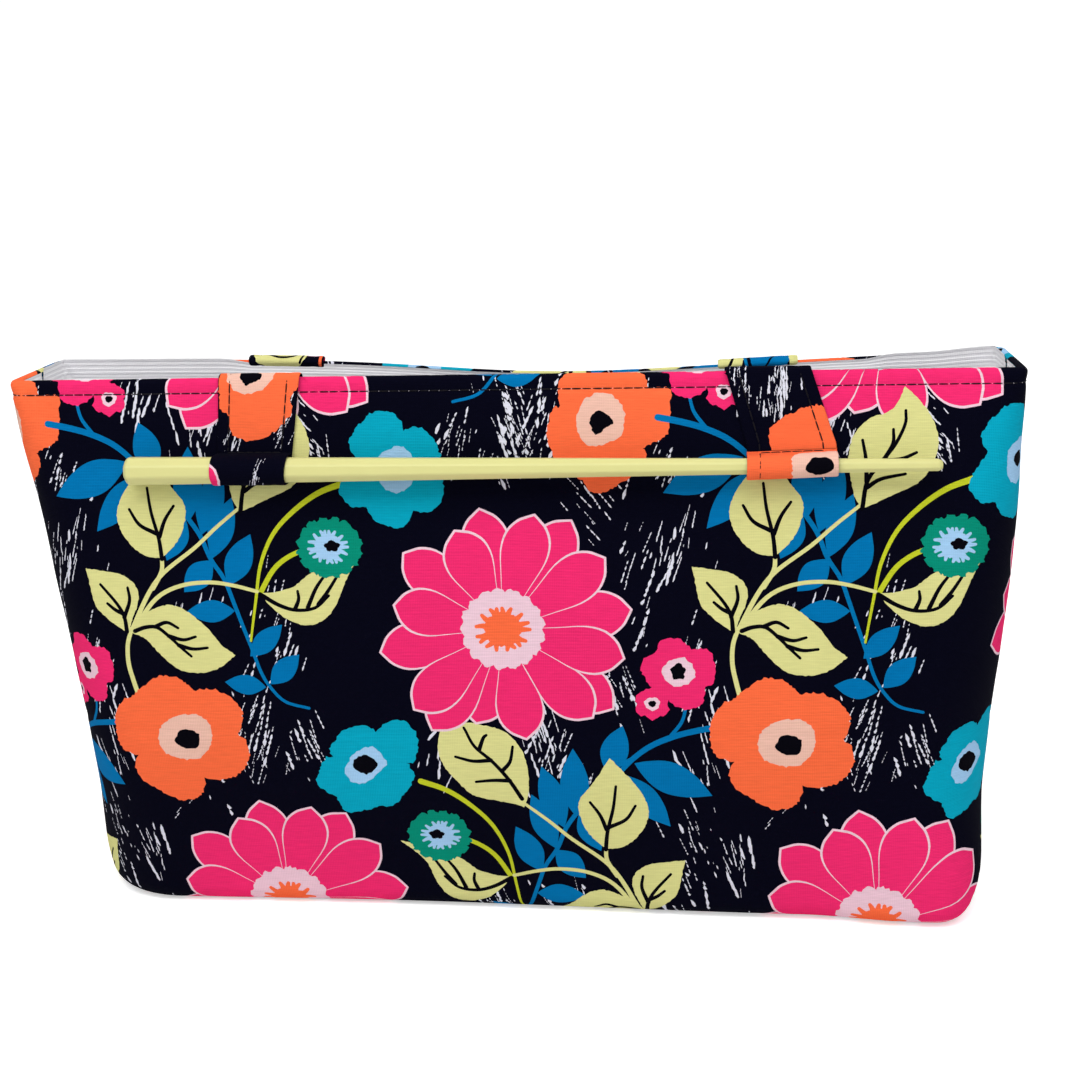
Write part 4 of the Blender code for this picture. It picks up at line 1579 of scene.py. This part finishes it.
def add_floor():
    """A round white floor that curves up far from the bag."""
    reach = FLOOR_RINGS[-1]
    outline_points = [(r, 0.0) for r in FLOOR_RINGS]
    outline_points += [
        (reach + FLOOR_RISE * math.sin(t), FLOOR_RISE * (1 - math.cos(t))) for t in np.linspace(0.1, 1.45, 14)
    ]
    points = [(0.0, 0.0, -FLOOR_DROP)]
    for radius, height in outline_points[1:]:
        for i in range(FLOOR_SIDES):
            turn = 2 * math.pi * i / FLOOR_SIDES
            points.append((radius * math.cos(turn), radius * math.sin(turn), height - FLOOR_DROP))
    faces = [(0, 1 + i, 1 + (i + 1) % FLOOR_SIDES) for i in range(FLOOR_SIDES)]
    for ring in range(len(outline_points) - 2):
        first = 1 + ring * FLOOR_SIDES
        for i in range(FLOOR_SIDES):
            j = (i + 1) % FLOOR_SIDES
            faces.append((first + i, first + FLOOR_SIDES + i, first + FLOOR_SIDES + j, first + j))
    mesh = bpy.data.meshes.new("floor")
    mesh.from_pydata(points, [], faces)
    mesh.shade_smooth()
    mesh.materials.append(floor_material())
    floor = bpy.data.objects.new("floor", mesh)
    bpy.context.scene.collection.objects.link(floor)


SKY_STRENGTH = 0.60  # what lights the bag; the camera itself sees plain white


def add_world():
    world = bpy.data.worlds.new("studio")
    world.use_nodes = True
    tree = world.node_tree
    background = tree.nodes["Background"]
    backdrop = tree.nodes.new("ShaderNodeBackground")
    mix = tree.nodes.new("ShaderNodeMixShader")
    tree.links.new(tree.nodes.new("ShaderNodeLightPath").outputs["Is Camera Ray"], mix.inputs[0])
    tree.links.new(background.outputs[0], mix.inputs[1])
    tree.links.new(backdrop.outputs[0], mix.inputs[2])
    tree.links.new(mix.outputs[0], tree.nodes["World Output"].inputs["Surface"])
    for node in (background, backdrop):
        node.inputs["Color"].default_value = (1.0, 1.0, 1.0, 1.0)
    background.inputs["Strength"].default_value = SKY_STRENGTH
    bpy.context.scene.world = world


def add_stage():
    """A white floor and backdrop, and soft light from everywhere."""
    bpy.context.scene.view_settings.view_transform = "Standard"
    add_floor()
    add_world()
    for light in AREA_LIGHTS:
        add_area_light(*light)


# ---- putting it together ----


def dress_body(side, cotton, lining, inner, thread, dots):
    """The bag's own cloth on one side."""
    wall, base = outer_wall(side, cotton), outer_base(side, cotton)
    lining_cloth, lining_floor = lining_wall(side, lining), lining_base(side, lining)
    interlining = interlining_wall(side, inner)
    stitches = rim_stitches(side, thread, dots)
    base.parent = wall
    lining_floor.parent = lining_cloth
    for piece in stitches:
        piece.parent = wall
    for piece, node, slot in ((wall, "outer", "printed_cotton"), (lining_cloth, "lining", "lining"),
                              (interlining, "interlining", "interlining")):
        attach(piece, "bag")
        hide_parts(f"{node}_{side}")


def dress_handle(side, cotton, wood, thread):
    """One side's straps, with their stitches, and its stick."""
    for hand in STRAPS:
        form = StrapForm(side, hand)
        cloth = strap(side, hand, form, cotton)
        stitches = strap_stitches(side, hand, form, thread)
        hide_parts(f"{side}_{hand}_strap", f"{side}_{hand}_strap_tail")
        for piece in (cloth, stitches):
            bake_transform(piece)
    rod = stick(side, wood)
    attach(rod, f"{side}_stick")
    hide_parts(f"{side}_stick")


THREADS = {"black_thread": (0.0035, 0.0025, 0.005), "under_thread": (0.55, 0.50, 0.56)}


def main():
    add_camera()
    add_stage()
    cotton, lining, inner, wood = printed_cotton(), white_lining(), plain_interlining(), painted_wood()
    thread, dots = (thread_material(name, color) for name, color in THREADS.items())
    for side in ("front", "back"):
        dress_body(side, cotton, lining, inner, thread, dots)
        dress_handle(side, cotton, wood, thread)


main()
